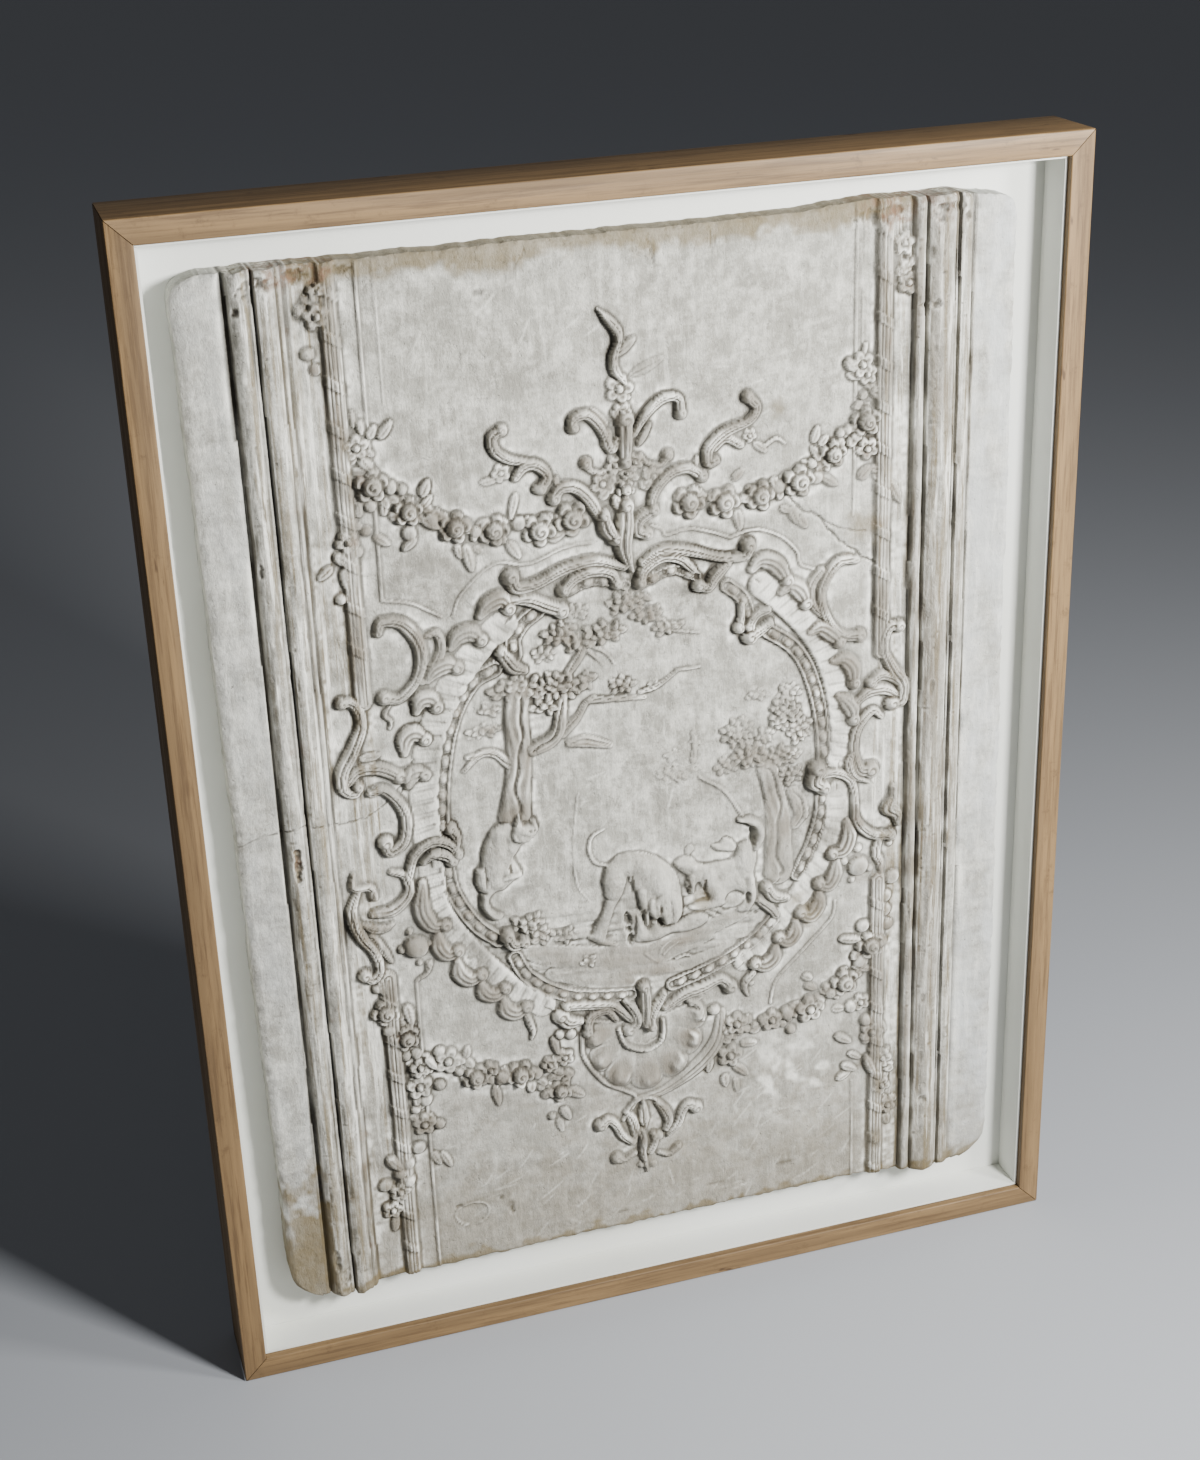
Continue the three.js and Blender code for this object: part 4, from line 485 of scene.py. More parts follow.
# Dark spots: x, z, half length in x, in z
DARK_SPOTS = [
    (-123, 455, 5, 2.4), (-141, -422, 3, 6), (-190, -409, 2.5, 1.6), (25, 474, 1.4, 12),
    (78, 482, 1.4, 9), (-92, 478, 1.4, 9), (-30, -458, 5, 2), (64, -448, 9, 2), (140, -440, 12, 2.4),
]

# Scratched fields: from x, to x, from z, to z, number of scratches
SCRATCHED = [
    (60, 205, -470, -300, 60), (-200, 60, -470, -360, 34), (-200, 200, 380, 485, 18),
    (20, 200, 300, 380, 10), (-60, 60, -60, 60, 10), (-215, -60, -470, -330, 18),
]

# Round damp spots: x, z, radius
DAMP_SPOTS = [(212, 212, 16), (160, -160, 14), (150, -148, 9), (237, 262, 10), (132, 330, 9),
              (56, -130, 12)]

# Oval of the hunt: its middle, half width and half height
HUNT_X, HUNT_HALF_WIDTH, HUNT_HALF_HEIGHT = -2, 178, 205

# Reach of the grid that the slab is drawn on. Its outer lines, up to the inner ones, are moved to the
# broken edges. The field lies between the mouldings.
GRID_LEFT, GRID_RIGHT, GRID_BOTTOM, GRID_TOP = -366, 356, -482, 498
INNER_LEFT, INNER_RIGHT, INNER_BOTTOM, INNER_TOP = -326, 312, -424, 438
FIELD_LEFT, FIELD_RIGHT = -275, 256

# The broken outline: its right edge at the top, and the middle of its top and bottom edges
EDGE_RIGHT, EDGE_TOP, EDGE_BOTTOM = 348.5, 491, -474

# Streaks run down the mouldings and rods, out from these two places
STREAKED_LEFT, STREAKED_RIGHT = -236, 225

# The plaster's strips from the bottom up
TILES = ("Plaster_Lower_Panel", "Plaster_Cartouche_Lower", "Plaster_Cartouche_Upper",
         "Plaster_Upper_Panel")

# The lists hold the heights of worn scrolls, and these stand this much higher at their crowns
CROWN_SHARE = 1.16

# An end of a strand at least this wide rolls up in a curl, wider by this share and higher by this much
KNOB_HALF_WIDTH, KNOB_SHARE, KNOB_RISE = 4.5, 1.22, 1.2

# Flowers from this height up are roses, and flowers no further apart than the gap hang together
ROSE_HEIGHT, GARLAND_GAP = 10, 48

GOLDEN_ANGLE = math.pi * (3 - math.sqrt(5))

# Viewpoint of the photograph: its height and focal length in pixels, the camera's place from the middle
# of the frame's front in metres, and its turn in degrees
IMAGE_HEIGHT, FOCAL_PIXELS = 1460, 2246.2
FRAME_MIDDLE = (MIDDLE_X, FRONT_Y, MIDDLE_Z)
CAMERA_OFFSET, CAMERA_TURN = (-0.5479, -1.7045, 0.8672), (65.747, 1.943, -17.438)

# Half the width of the floor, in metres
FLOOR_REACH = 40


def unit(values):
    """The values held between 0 and 1."""
    return np.clip(values, 0, 1)


def bell(distance, width):
    """A bell curve, 1 at no distance: e to the power of minus the square of distance over width."""
    return np.exp(-((distance / width) ** 2))


def crown(r, power=2):
    """A rounded top: the square root of one less r to a power, and nothing past r = 1."""
    return np.sqrt(unit(1 - np.abs(r) ** power))


def steep(r, inside, fall):
    """The inside heights up to r = 1, and a steep slope down past it."""
    return np.where(r <= 1, inside, -fall * (r - 1))


def turned(dx, dz, turn):
    """Distances along and across a direction that is turned by an angle from the x axis."""
    return dx * math.cos(turn) + dz * math.sin(turn), dz * math.cos(turn) - dx * math.sin(turn)


def noise(x, z, cell, seed):
    """Smooth noise from -1 to 1: seeded random values on a square lattice of the given cell, blended
    with the smooth step 3t^2 - 2t^3 in both directions."""
    lattice = np.random.default_rng(seed).uniform(-1, 1, (257, 257))
    u, v = x / cell + 128.5, z / cell + 128.5
    i, j = np.floor(u).astype(int), np.floor(v).astype(int)
    a, b = u - i, v - j
    a, b = a * a * (3 - 2 * a), b * b * (3 - 2 * b)
    i, j = i % 256, j % 256
    low = lattice[j, i] * (1 - a) + lattice[j, i + 1] * a
    high = lattice[j + 1, i] * (1 - a) + lattice[j + 1, i + 1] * a
    return low * (1 - b) + high * b


def spline(p, steps):
    """Points on the Catmull-Rom curve through rows of points, from the second row to the last but one."""
    t = np.linspace(0, 1, steps, endpoint=False)[:, None]
    a, b, c, d = (q[:, None] for q in (p[:-3], p[1:-2], p[2:-1], p[3:]))
    square, cube = 2 * a - 5 * b + 4 * c - d, 3 * b - a - 3 * c + d
    return (0.5 * (2 * b + (c - a) * t + square * t**2 + cube * t**3)).reshape(-1, 2)


def route(points, step=1.2):
    """A Catmull-Rom curve through the points, cut into even steps: places, unit tangents, arc lengths."""
    p = np.array(points, float)
    q = np.vstack([spline(np.vstack([2 * p[0] - p[1], p, 2 * p[-1] - p[-2]]), 20), p[-1]])
    length = np.concatenate([[0], np.cumsum(np.hypot(*np.diff(q, axis=0).T))])
    arc = np.linspace(0, length[-1], max(3, int(length[-1] / step) + 1))
    x, z = np.interp(arc, length, q[:, 0]), np.interp(arc, length, q[:, 1])
    tx, tz = np.gradient(x), np.gradient(z)
    size = np.hypot(tx, tz)
    return x, z, tx / size, tz / size, arc


# Sections, over u from -1 to 1 across the form and the arc length along it


def round_section(u, arc):
    """A half circle: the square root of one less the square of u."""
    return crown(u)


def scroll_section(u, arc):
    """A round ridge, a little higher on one side, with two fine furrows along it."""
    furrows = 0.26 * bell(u + 0.22, 0.12) + 0.2 * bell(u - 0.38, 0.1)
    return crown(u, 2.6) * (1 + 0.12 * u - furrows)


def lobe_section(u, arc):
    """A plump leaf lobe with three shallow veins that open towards its tip."""
    veins = 0.07 * np.cos(u * 11) * unit(arc / 12)
    return crown(u, 2.4) * (0.92 + 0.16 * u + veins)


def band_section(u, arc):
    """A flat bed between two raised fillets."""
    return crown(u, 10) * (0.36 + 0.8 * bell(np.abs(u) - 0.82, 0.14))


def bark_section(u, arc):
    """A flattened round with winding furrows along it, one of them deep."""
    wander = 0.3 * np.sin(arc * 0.06) + 0.1 * np.sin(arc * 0.19)
    deep = 0.5 * bell(u - 0.08 - wander, 0.13)
    fine = 0.07 * np.sin(u * 9 + 2.2 * np.sin(arc * 0.08)) + 0.06 * np.sin(arc * 0.33 + 3 * u)
    return crown(u, 4) * (1 + fine - deep)


def bundle_section(u, arc):
    """A half round with five fine furrows along it, like a bundle of canes."""
    return crown(u, 3) * (1 - 0.3 * np.cos(u * 7.4) ** 4)


def fringe_section(side):
    """A shell edge: a cove that rises towards one side, brushed with faint slanting flutes."""
    def section(u, arc):
        outward = 0.5 + 0.5 * u * side
        flutes = np.cos(2 * np.pi * (arc + 8 * outward * outward) / 12.5)
        fine = np.cos(2 * np.pi * (arc + 5 * outward) / 4.3)
        rise = 0.4 + 0.55 * outward**2 + 0.11 * flutes * (0.3 + 0.7 * outward) + 0.015 * fine
        return crown(u, 6) * rise
    return section


class Relief:
    """Heights in mm over columns x and rows z. Forms are laid on it one after another: each height is
    the smooth maximum of what is there and the new form. cove and pale hold, for forms that stayed
    chalky, their height and how chalky they are."""

    def __init__(self, x, z):
        self.x, self.z = x, z
        self.h = np.zeros((len(z), len(x)))
        self.cove = np.full(self.h.shape, -9.0)
        self.pale = np.zeros(self.h.shape)

    def window(self, x0, x1, z0, z1):
        """The rows and columns that cover a rectangle."""
        rows = slice(*np.searchsorted(self.z, (z0, z1)))
        cols = slice(*np.searchsorted(self.x, (x0, x1)))
        return rows, cols

    def around(self, x, z, reach):
        """The rows and columns within reach of a point, and their offsets from it."""
        rows, cols = self.window(x - reach, x + reach, z - reach, z + reach)
        return rows, cols, self.x[None, cols] - x, self.z[rows, None] - z

    def lay(self, rows, cols, values, soft):
        """Smooth maximum: the larger of the two, plus a quarter of soft where they meet."""
        old = self.h[rows, cols]
        near = 1 - unit(np.abs(old - values) / soft)
        self.h[rows, cols] = np.maximum(old, values) + 0.25 * soft * near**2

    def nearest(self, way, reach):
        """For each point of the window round a route: its distance, signed by its side, its place along
        the route, and the number of the nearest step."""
        x, z, tx, tz, arc = way
        rows, cols = self.window(x.min() - reach, x.max() + reach, z.min() - reach, z.max() + reach)
        gx, gz = self.x[cols], self.z[rows]
        best = np.full((len(gz), len(gx)), 1e9)
        index = np.zeros(best.shape, int)
        for start in range(0, len(x), 8):
            px, pz = x[start:start + 8], z[start:start + 8]
            r = slice(*np.searchsorted(gz, (pz.min() - reach, pz.max() + reach)))
            c = slice(*np.searchsorted(gx, (px.min() - reach, px.max() + reach)))
            d = (gx[None, c, None] - px) ** 2 + (gz[r, None, None] - pz) ** 2
            k = d.argmin(2)
            d = np.take_along_axis(d, k[..., None], 2)[..., 0]
            closer = d < best[r, c]
            best[r, c] = np.where(closer, d, best[r, c])
            index[r, c] = np.where(closer, k + start, index[r, c])
        dx, dz = gx[None, :] - x[index], gz[:, None] - z[index]
        lateral = dz * tx[index] - dx * tz[index]
        forward = dx * tx[index] + dz * tz[index]
        side = np.where(lateral < 0, -1.0, 1.0)
        return rows, cols, side * np.sqrt(best), arc[index] + forward, index

    def strand(self, height, half_widths, points, section=round_section, soft=1.4, knobs=False):
        """A section carried along a route. u is the distance from the route over the half width there;
        the height follows the width, and beyond the edge it falls away steeply. With knobs, each end
        that is wide enough rolls up in a curl."""
        way = route(points)
        share = way[4] / way[4][-1]
        width = np.interp(share, np.linspace(0, 1, len(half_widths)), half_widths)
        widest = width.max()
        rows, cols, distance, arc, index = self.nearest(way, widest + 3)
        w = width[index]
        u = distance / w
        rise = height * (0.5 + 0.5 * w / widest)
        inside = rise * section(np.clip(u, -1, 1), arc)
        values = np.where(np.abs(u) <= 1, inside, -4 * (np.abs(distance) - w))
        self.lay(rows, cols, values, soft)
        for end in (0, -1):
            if knobs and half_widths[end] >= KNOB_HALF_WIDTH:
                self.curl(way[0][end], way[1][end], KNOB_SHARE * half_widths[end], height + KNOB_RISE)

    def dome(self, x, z, radius, height, squeeze=1.0, turn=0.0, power=2.0, soft=1.2):
        """An oval dome: height times the square root of one less the radius share to a power."""
        rows, cols, dx, dz = self.around(x, z, radius * max(1, squeeze) + 3)
        long, wide = turned(dx, dz, turn)
        r = np.hypot(long / radius, wide / (radius * squeeze))
        self.lay(rows, cols, steep(r, height * crown(r, power), 3 * radius), soft)

    def curl(self, x, z, radius, height):
        """The rolled end of a scroll: a dome with a spiral furrow of a turn and a third."""
        rows, cols, dx, dz = self.around(x, z, radius + 3)
        r, angle = np.hypot(dx, dz) / radius, np.arctan2(dz, dx)
        furrow = np.cos(2 * np.pi * 1.3 * r + angle)
        inside = height * crown(r, 3) * (1 - 0.1 * (1 - furrow) * (r > 0.25))
        self.lay(rows, cols, steep(r, inside, 3 * radius), 1.0)

    def bloom(self, x, z, radius, height, number):
        """An open flower: five cupped petals, each an oval dome with a crease, round a button with a
        whorl on it. A tall flower is a rose, with a button of twice the size."""
        rows, cols, dx, dz = self.around(x, z, radius * 1.2 + 3)
        tilt = 1 + 0.22 * (dx * math.cos(number) + dz * math.sin(number)) / radius
        petals = np.full(np.broadcast(dx, dz).shape, -9.0)
        for k in range(5):
            long, wide = turned(dx, dz, number * GOLDEN_ANGLE + k * 2 * math.pi / 5)
            long = long - 0.56 * radius
            r = np.hypot(long / (0.52 * radius), wide / (0.44 * radius))
            cup = 1 - 0.3 * bell(np.hypot(long, wide), 0.3 * radius)
            petal = 0.86 * height * crown(r, 3) * cup
            petals = np.maximum(petals, steep(r, petal * tilt, 3 * radius))
        r = np.hypot(dx, dz) / (0.27 * radius)
        if height >= ROSE_HEIGHT:
            r = r * 0.5
        moat = unit(1 - ((r - 1.25) / 0.4) ** 2)
        whorl = 0.1 * np.cos(9 * r + np.arctan2(dz, dx) + number)
        button = np.where(r <= 1, height * (0.62 + (0.46 + whorl) * crown(r)), -9)
        self.lay(rows, cols, np.maximum(petals - 0.22 * height * moat, button), 1.0)

    def leaf(self, x0, z0, x1, z1, half_width, height):
        """A leaf: an oval outline drawn in towards the tip, a rounded top, a furrow down the middle and
        fine furrows aslant from it."""
        length = math.hypot(x1 - x0, z1 - z0)
        rows, cols, dx, dz = self.around((x0 + x1) / 2, (z0 + z1) / 2, length / 2 + half_width + 2)
        long, wide = turned(dx, dz, math.atan2(z1 - z0, x1 - x0))
        long = long / (length / 2)
        edge = half_width * np.sqrt(np.clip(1 - np.abs(long) ** 2.2, 1e-4, 1)) * (1 - 0.18 * long)
        u = wide / edge
        rib = 0.75 * bell(wide, 0.9) + 0.22 * np.cos(long * 9 - 3 * np.abs(u)) ** 2
        inside = height * crown(u) * (0.8 + 0.25 * np.cos(long * 1.4)) - rib
        outside = -3 * (np.abs(wide) - edge) - 6 * np.clip(np.abs(long) - 1, 0, None)
        self.lay(rows, cols, np.where((np.abs(u) <= 1) & (np.abs(long) < 1), inside, outside), 1.0)

    def oval(self, x, z, half_length, half_width, height, turn):
        """One small leaf: an oval plate that climbs to its tip and ends there in a steep edge."""
        rows, cols, dx, dz = self.around(x, z, half_length + 1.5)
        long, wide = turned(dx, dz, turn)
        long = long / half_length
        wide = wide / (half_width * (1 - 0.2 * long))
        r = np.hypot(long, wide)
        plate = height * (0.74 + 0.26 * long) * crown(r, 5) - 0.3 * bell(wide, 0.2)
        self.lay(rows, cols, steep(r, plate, 4 * half_length), 0.5)

    def clump(self, x, z, half_length, half_height, height, leaf, number):
        """Leaves set out like the seeds of a sunflower over a low mound, each a small oval that points
        outwards and rises to its tip, so that the inner ones lap over the outer ones."""
        self.dome(x, z, 0.8 * half_length, 0.25 * height, half_height / half_length, soft=2)
        count = max(4, round(1.5 * half_length * half_height / leaf**2))
        rng = np.random.default_rng(1000 + number)
        for i in range(count):
            out = math.sqrt((i + 0.5) / count)
            angle = i * GOLDEN_ANGLE + number
            px = x + half_length * out * math.cos(angle) + rng.uniform(-0.8, 0.8)
            pz = z + half_height * out * math.sin(angle) + rng.uniform(-0.8, 0.8)
            turn = math.atan2(pz - z, px - x) + rng.uniform(-0.7, 0.7)
            size = leaf * rng.uniform(0.85, 1.2)
            rise = height * (1.15 - 0.45 * out * out) * rng.uniform(0.65, 1.1)
            self.oval(px, pz, 1.1 * size, 0.72 * size, rise, turn)

    def figure(self, height, edge, points):
        """A body within a closed outline. It rises from the outline as a quarter round of the edge's
        width: height times the square root of one less the square of the missing share, with a grain
        of fur."""
        line = spline(np.array([points[-1], *points, points[0], points[1]], float), 8)
        (left, bottom), (right, top) = np.min(points, 0), np.max(points, 0)
        rows, cols = self.window(left - 3, right + 3, bottom - 3, top + 3)
        gx, gz = np.meshgrid(self.x[cols], self.z[rows])
        distance = np.full(gx.shape, 1e9)
        inside = np.zeros(gx.shape, bool)
        for (ax, az), (bx, bz) in zip(line, np.roll(line, -1, 0)):
            size = (bx - ax) ** 2 + (bz - az) ** 2
            s = unit(((gx - ax) * (bx - ax) + (gz - az) * (bz - az)) / size)
            distance = np.minimum(distance, np.hypot(gx - ax - s * (bx - ax), gz - az - s * (bz - az)))
            crosses = ((az > gz) != (bz > gz)) & (gx < (bx - ax) * (gz - az) / (bz - az + 1e-12) + ax)
            inside ^= crosses
        fur = 0.03 * noise(gx, gz, 6, 60) + 0.045 * noise(gx + 0.4 * gz, gz * 0.4, 2.6, 61)
        body = height * crown(1 - unit(distance / edge)) * (1 + fur)
        self.lay(rows, cols, np.where(inside, body, -4 * distance), 1.0)

    def beads(self, points):
        """Eggs along a band, each in a low ring."""
        x, z, tx, tz, arc = route(points)
        count = max(1, int(arc[-1] / BEAD_SPACING))
        squeeze = BEAD_SHORT / BEAD_LONG
        for i in range(count):
            k = int((i + 0.5) / count * (len(x) - 1))
            turn = math.atan2(tz[k], tx[k])
            self.dome(x[k], z[k], BEAD_LONG + 1.2, 3.0, squeeze, turn, 8, 0.6)
            self.dome(x[k], z[k], BEAD_LONG - 0.6, BEAD_HEIGHT, squeeze, turn, 2, 0.5)

    def rod(self, x, top, bottom):
        """A bundle of canes from top to bottom, bound by slanting ribbons."""
        way = [(x - LEAN * top, top), (x - LEAN * bottom, bottom)]
        self.strand(ROD_HEIGHT, [ROD_HALF_WIDTH] * 2, way, bundle_section, 1.0)
        for i in range(int((top - bottom) / RIBBON_SPACING)):
            z = top - (i + 0.7) * RIBBON_SPACING
            middle, reach = x - LEAN * z, ROD_HALF_WIDTH + 1.5
            ribbon = [(middle - reach, z + 6), (middle, z), (middle + reach, z - 6)]
            rows, cols, distance, _, _ = self.nearest(route(ribbon), RIBBON_HALF_WIDTH)
            on = unit(RIBBON_HALF_WIDTH - np.abs(distance))
            self.h[rows, cols] += on * RIBBON_RISE * crown((self.x[None, cols] - middle) / reach)

    def keep_pale(self, before, share):
        """Remembers the height of the forms that were laid since, which stayed as pale as the share."""
        laid = self.h > before + 0.3
        self.cove = np.where(laid, self.h, self.cove)
        self.pale = np.where(laid, share, self.pale)

    def hollow(self, rows, cols, depth):
        """Takes a depth away, but never more than the relief and 3 mm of the slab."""
        self.h[rows, cols] = np.maximum(self.h[rows, cols] - depth, -3)

    def chip(self, x, z, half_x, half_z, depth):
        """A broken hollow: an oval bowl with a jagged rim."""
        rows, cols = self.window(x - half_x - 2, x + half_x + 2, z - half_z - 2, z + half_z + 2)
        gx, gz = np.meshgrid(self.x[cols], self.z[rows])
        r = np.hypot((gx - x) / half_x, (gz - z) / half_z) + 0.35 * noise(gx, gz, 4, 31)
        facets = 1 + 0.35 * noise(gx, gz, 2.5, 32)
        self.hollow(rows, cols, depth * facets * np.sqrt(unit(1.1 - r)))

    def crack(self, half_width, depth, points):
        """A wandering groove of V section."""
        rows, cols, distance, _, _ = self.nearest(route(points), half_width + 3)
        gx, gz = np.meshgrid(self.x[cols], self.z[rows])
        wander = distance + 1.4 * noise(gx, gz, 7, 33) + 0.6 * noise(gx, gz, 2.5, 34)
        self.hollow(rows, cols, depth * unit(1 - np.abs(wander) / (half_width + 0.6)))


def run_profile(x):
    """Height of the run mouldings over x: each member is a sine arch on the line between its edges,
    with grooves between members and a flat band outside them."""
    h = np.full(x.shape, 0.6)
    left_run = (x > BAND_LEFT) & (x < MEMBERS[3][1])
    right_run = (x > MEMBERS[4][0]) & (x < BAND_RIGHT)
    h[left_run | right_run] = GROOVE
    for start, end, left, top, right in MEMBERS:
        t = (x - start) / (end - start)
        arch = left + (right - left) * t + (top - 0.5 * (left + right)) * np.sin(np.pi * unit(t)) ** 0.75
        h = np.where((t >= 0) & (t <= 1), arch, h)
    return np.where((x <= BAND_LEFT) | (x >= BAND_RIGHT), BAND_HEIGHT, h)


def grid_lines(stops):
    """Grid lines from rows of (start, step) stops: even steps up to the next stop."""
    lines = [np.linspace(a, b, max(1, round((b - a) / step)), endpoint=False)
             for (a, step), (b, _) in zip(stops, stops[1:])]
    return np.append(np.concatenate(lines), stops[-1][0])


def carve():
    """Lays every form on the ground, from the run mouldings to the smallest leaf, then the damage."""
    x = grid_lines([(GRID_LEFT, 4), (INNER_LEFT, 1.1), (FIELD_LEFT, 1.3), (FIELD_RIGHT, 1.05),
                    (INNER_RIGHT, 4), (GRID_RIGHT, 0)])
    z = grid_lines([(GRID_BOTTOM, 2.6), (INNER_BOTTOM, 1.25), (INNER_TOP, 2.6), (GRID_TOP, 0)])
    relief = Relief(x, z)
    gx, gz = np.meshgrid(x, z)
    relief.h = run_profile(gx + LEAN * gz + 0.35 * noise(gx, gz, 60, 1) * (np.abs(gx) > 250))
    flaked = unit(noise(gx * 2.5, gz, 22, 2) - 0.45) * 2.4 + unit(noise(gx, gz, 5, 3) - 0.6) * 1.6
    relief.h -= flaked * unit((relief.h - 5) / 3)
    carve_scene(relief)
    carve_cartouche(relief)
    carve_shell(relief)
    carve_sides(relief)
    for form in CHIPS:
        relief.chip(*form)
    for form in CRACKS:
        relief.crack(*form)
    return relief


def carve_scene(relief):
    """The hunting scene in low relief: ground, trees, hounds and foliage."""
    gx, gz = np.meshgrid(relief.x, relief.z)
    within = np.clip(1.12 - np.hypot((gx - HUNT_X) / HUNT_HALF_WIDTH, gz / HUNT_HALF_HEIGHT), 0, 0.1) * 10
    streaks = noise(gx, gz * 5 + 0.3 * gx, 22, 4) * unit((-105 - gz) / 30)
    tooled = 0.45 * noise(gx, gz, 14, 5) + 0.35 * noise(gx, gz * 0.5, 6, 6) + 0.1 * noise(gx, gz, 2.8, 7)
    relief.h += within * (1.9 * streaks + tooled)
    for form in GROUND_SWELLS:
        relief.strand(*form, round_section, 3)
    for form in TREES:
        relief.strand(*form, bark_section, 1.5)
    ground = relief.h.copy()
    for form in FIGURES:
        relief.figure(*form)
    for form in LIMBS:
        relief.strand(*form, round_section, 2.6)
    relief.keep_pale(ground, 0.3)
    for number, form in enumerate(FOLIAGE):
        relief.clump(*form, number)
    for form in UNDERCUTS:
        relief.chip(*form)


def carve_cartouche(relief):
    """Fringe, bead bands, tongues and scrolls of the cartouche, and the spray over it."""
    ground = relief.h.copy()
    for height, half_width, side, points in FRINGES:
        relief.strand(height, [half_width] * 2, points, fringe_section(side))
    relief.keep_pale(ground, 1.0)
    for height, half_width, points in BEAD_BANDS:
        relief.strand(height, [half_width] * 2, points, band_section, 0.6)
        relief.beads(points)
    for points in TONGUES:
        relief.strand(TONGUE_HEIGHT, TONGUE_HALF_WIDTHS, points, lobe_section, 2.4, knobs=True)
    carve_scrolls(relief, CARTOUCHE_SCROLLS + FOOT_SCROLLS + FINIAL_SCROLLS)


def carve_scrolls(relief, scrolls):
    """Scrolls with rolled ends, each with its crown raised above the height in its list."""
    for height, half_widths, points in scrolls:
        relief.strand(CROWN_SHARE * height, half_widths, points, scroll_section, knobs=True)


def carve_shell(relief):
    """The shell at the foot: a dish that rises to its rim, fluted between lobes that curl at the edge."""
    cx, cz = SHELL_HUB
    rows, cols = relief.window(cx - 70, cx + 70, cz - 84, cz + 30)
    dx, dz = relief.x[None, cols] - cx, relief.z[rows, None] - cz
    angle = np.arctan2(dx, -dz)
    lobes = np.abs(np.cos(angle * SHELL_TURN_RATE))
    rim = (SHELL_SIDE + (SHELL_DROP - SHELL_SIDE) * np.cos(angle) ** 2) * (0.88 + 0.14 * np.sqrt(lobes))
    r = np.hypot(dx, dz) / rim
    rise = 1.2 + 4.2 * unit(r - 0.35) + 3.4 * (lobes - 0.6) * unit(r - 0.3)
    uneven = 0.6 * np.sin(angle * (2 * SHELL_TURN_RATE))
    rolled = 4.6 * bell(r - 0.86, 0.09) * unit(1.6 * lobes - 0.6 + uneven)
    fan = (r < 1) & (r > 0.3) & (np.abs(angle) < SHELL_SPREAD)
    beyond = -3 * rim * unit(r - 1) - 0.3
    relief.lay(rows, cols, np.where(fan, (rise + rolled) * crown(r, 12), beyond), 1)


def carve_sides(relief):
    """Lines, rods, side scrolls and the garlands."""
    for half_width, height, points in LINES:
        leaning = [(x - LEAN * z, z) for x, z in points]
        relief.strand(height + 0.6, [half_width] * 2, leaning, round_section, 0.5)
    for form in RODS:
        relief.rod(*form)
    carve_scrolls(relief, SIDE_SCROLLS)
    for form in LEAVES:
        relief.leaf(*form)
    for form in BUDS:
        relief.dome(*form, 0.9, form[0], 2.4)
    fill_garlands(relief)
    for number, form in enumerate(BLOOMS):
        relief.bloom(*form, number)


def fill_garlands(relief):
    """Small petals and leaves between each two flowers that hang together."""
    rng = np.random.default_rng(77)
    for (ax, az, _, _), (bx, bz, _, _) in zip(BLOOMS, BLOOMS[1:]):
        gap = math.hypot(bx - ax, bz - az)
        if gap > GARLAND_GAP:
            continue
        turn = math.atan2(bz - az, bx - ax)
        for _ in range(round(gap / 5)):
            t = rng.uniform(0.15, 0.85)
            aside = rng.uniform(-9, 9)
            x = ax + t * (bx - ax) - aside * math.sin(turn)
            z = az + t * (bz - az) + aside * math.cos(turn)
            size = rng.uniform(3, 5)
            relief.oval(x, z, 1.3 * size, size, rng.uniform(3.5, 6.5), turn + rng.uniform(-2, 2))


def blurred(values, reach, rounds=2):
    """A mean over a square of 2 reach + 1 cells, from running sums along both axes, done twice."""
    for _ in range(rounds):
        for axis in (0, 1):
            pad = [(0, 0), (0, 0)]
            pad[axis] = (reach + 1, reach)
            sums = np.cumsum(np.pad(values, pad, mode="edge"), axis=axis)
            size = values.shape[axis]
            high = np.take(sums, np.arange(2 * reach + 1, 2 * reach + 1 + size), axis)
            low = np.take(sums, np.arange(size), axis)
            values = (high - low) / (2 * reach + 1)
    return values


def broken_edges(relief):
    """Moves the outer grid lines to the broken outline of the slab. Returns places x and z, and how far
    each point lies in from the edge."""
    gx, gz = np.meshgrid(relief.x, relief.z)
    ragged = 0.7 * noise(gx, gz, 34, 40) + 0.35 * noise(gx, gz, 5, 41) + 0.4 * noise(gx, gz, 12, 45)
    corner_up = unit((gz - 458) / 40)
    corner_down = unit((-440 - gz) / 42)
    left = GRID_LEFT + 11 * unit((455 - gz) / 935) + 22 * corner_up**5 + 26 * corner_down**3 + ragged
    right = EDGE_RIGHT + 7 * unit((440 - gz) / 820) - 8 * corner_up**9 - 28 * corner_down**3 + ragged
    pull_left = unit((INNER_LEFT - gx) / (INNER_LEFT - GRID_LEFT))
    pull_right = unit((gx - INNER_RIGHT) / (GRID_RIGHT - INNER_RIGHT))
    px = gx + (left - GRID_LEFT) * pull_left + (right - GRID_RIGHT) * pull_right
    high = EDGE_TOP + 6 * bell(px - 250, 90) - 3 * unit((px - 290) / 60) + 1.2 * ragged
    low = EDGE_BOTTOM - 3.5 * bell(px + 300, 36) - 4 * bell(px - 300, 50) + 1.5 * ragged
    pull_up = unit((gz - INNER_TOP) / (GRID_TOP - INNER_TOP)) ** 2
    pull_down = unit((INNER_BOTTOM - gz) / (INNER_BOTTOM - GRID_BOTTOM)) ** 2
    pz = gz + (high - GRID_TOP) * pull_up + (low - GRID_BOTTOM) * pull_down
    inset = np.minimum.reduce([gx - GRID_LEFT, GRID_RIGHT - gx, gz - GRID_BOTTOM, GRID_TOP - gz])
    return px, pz, inset


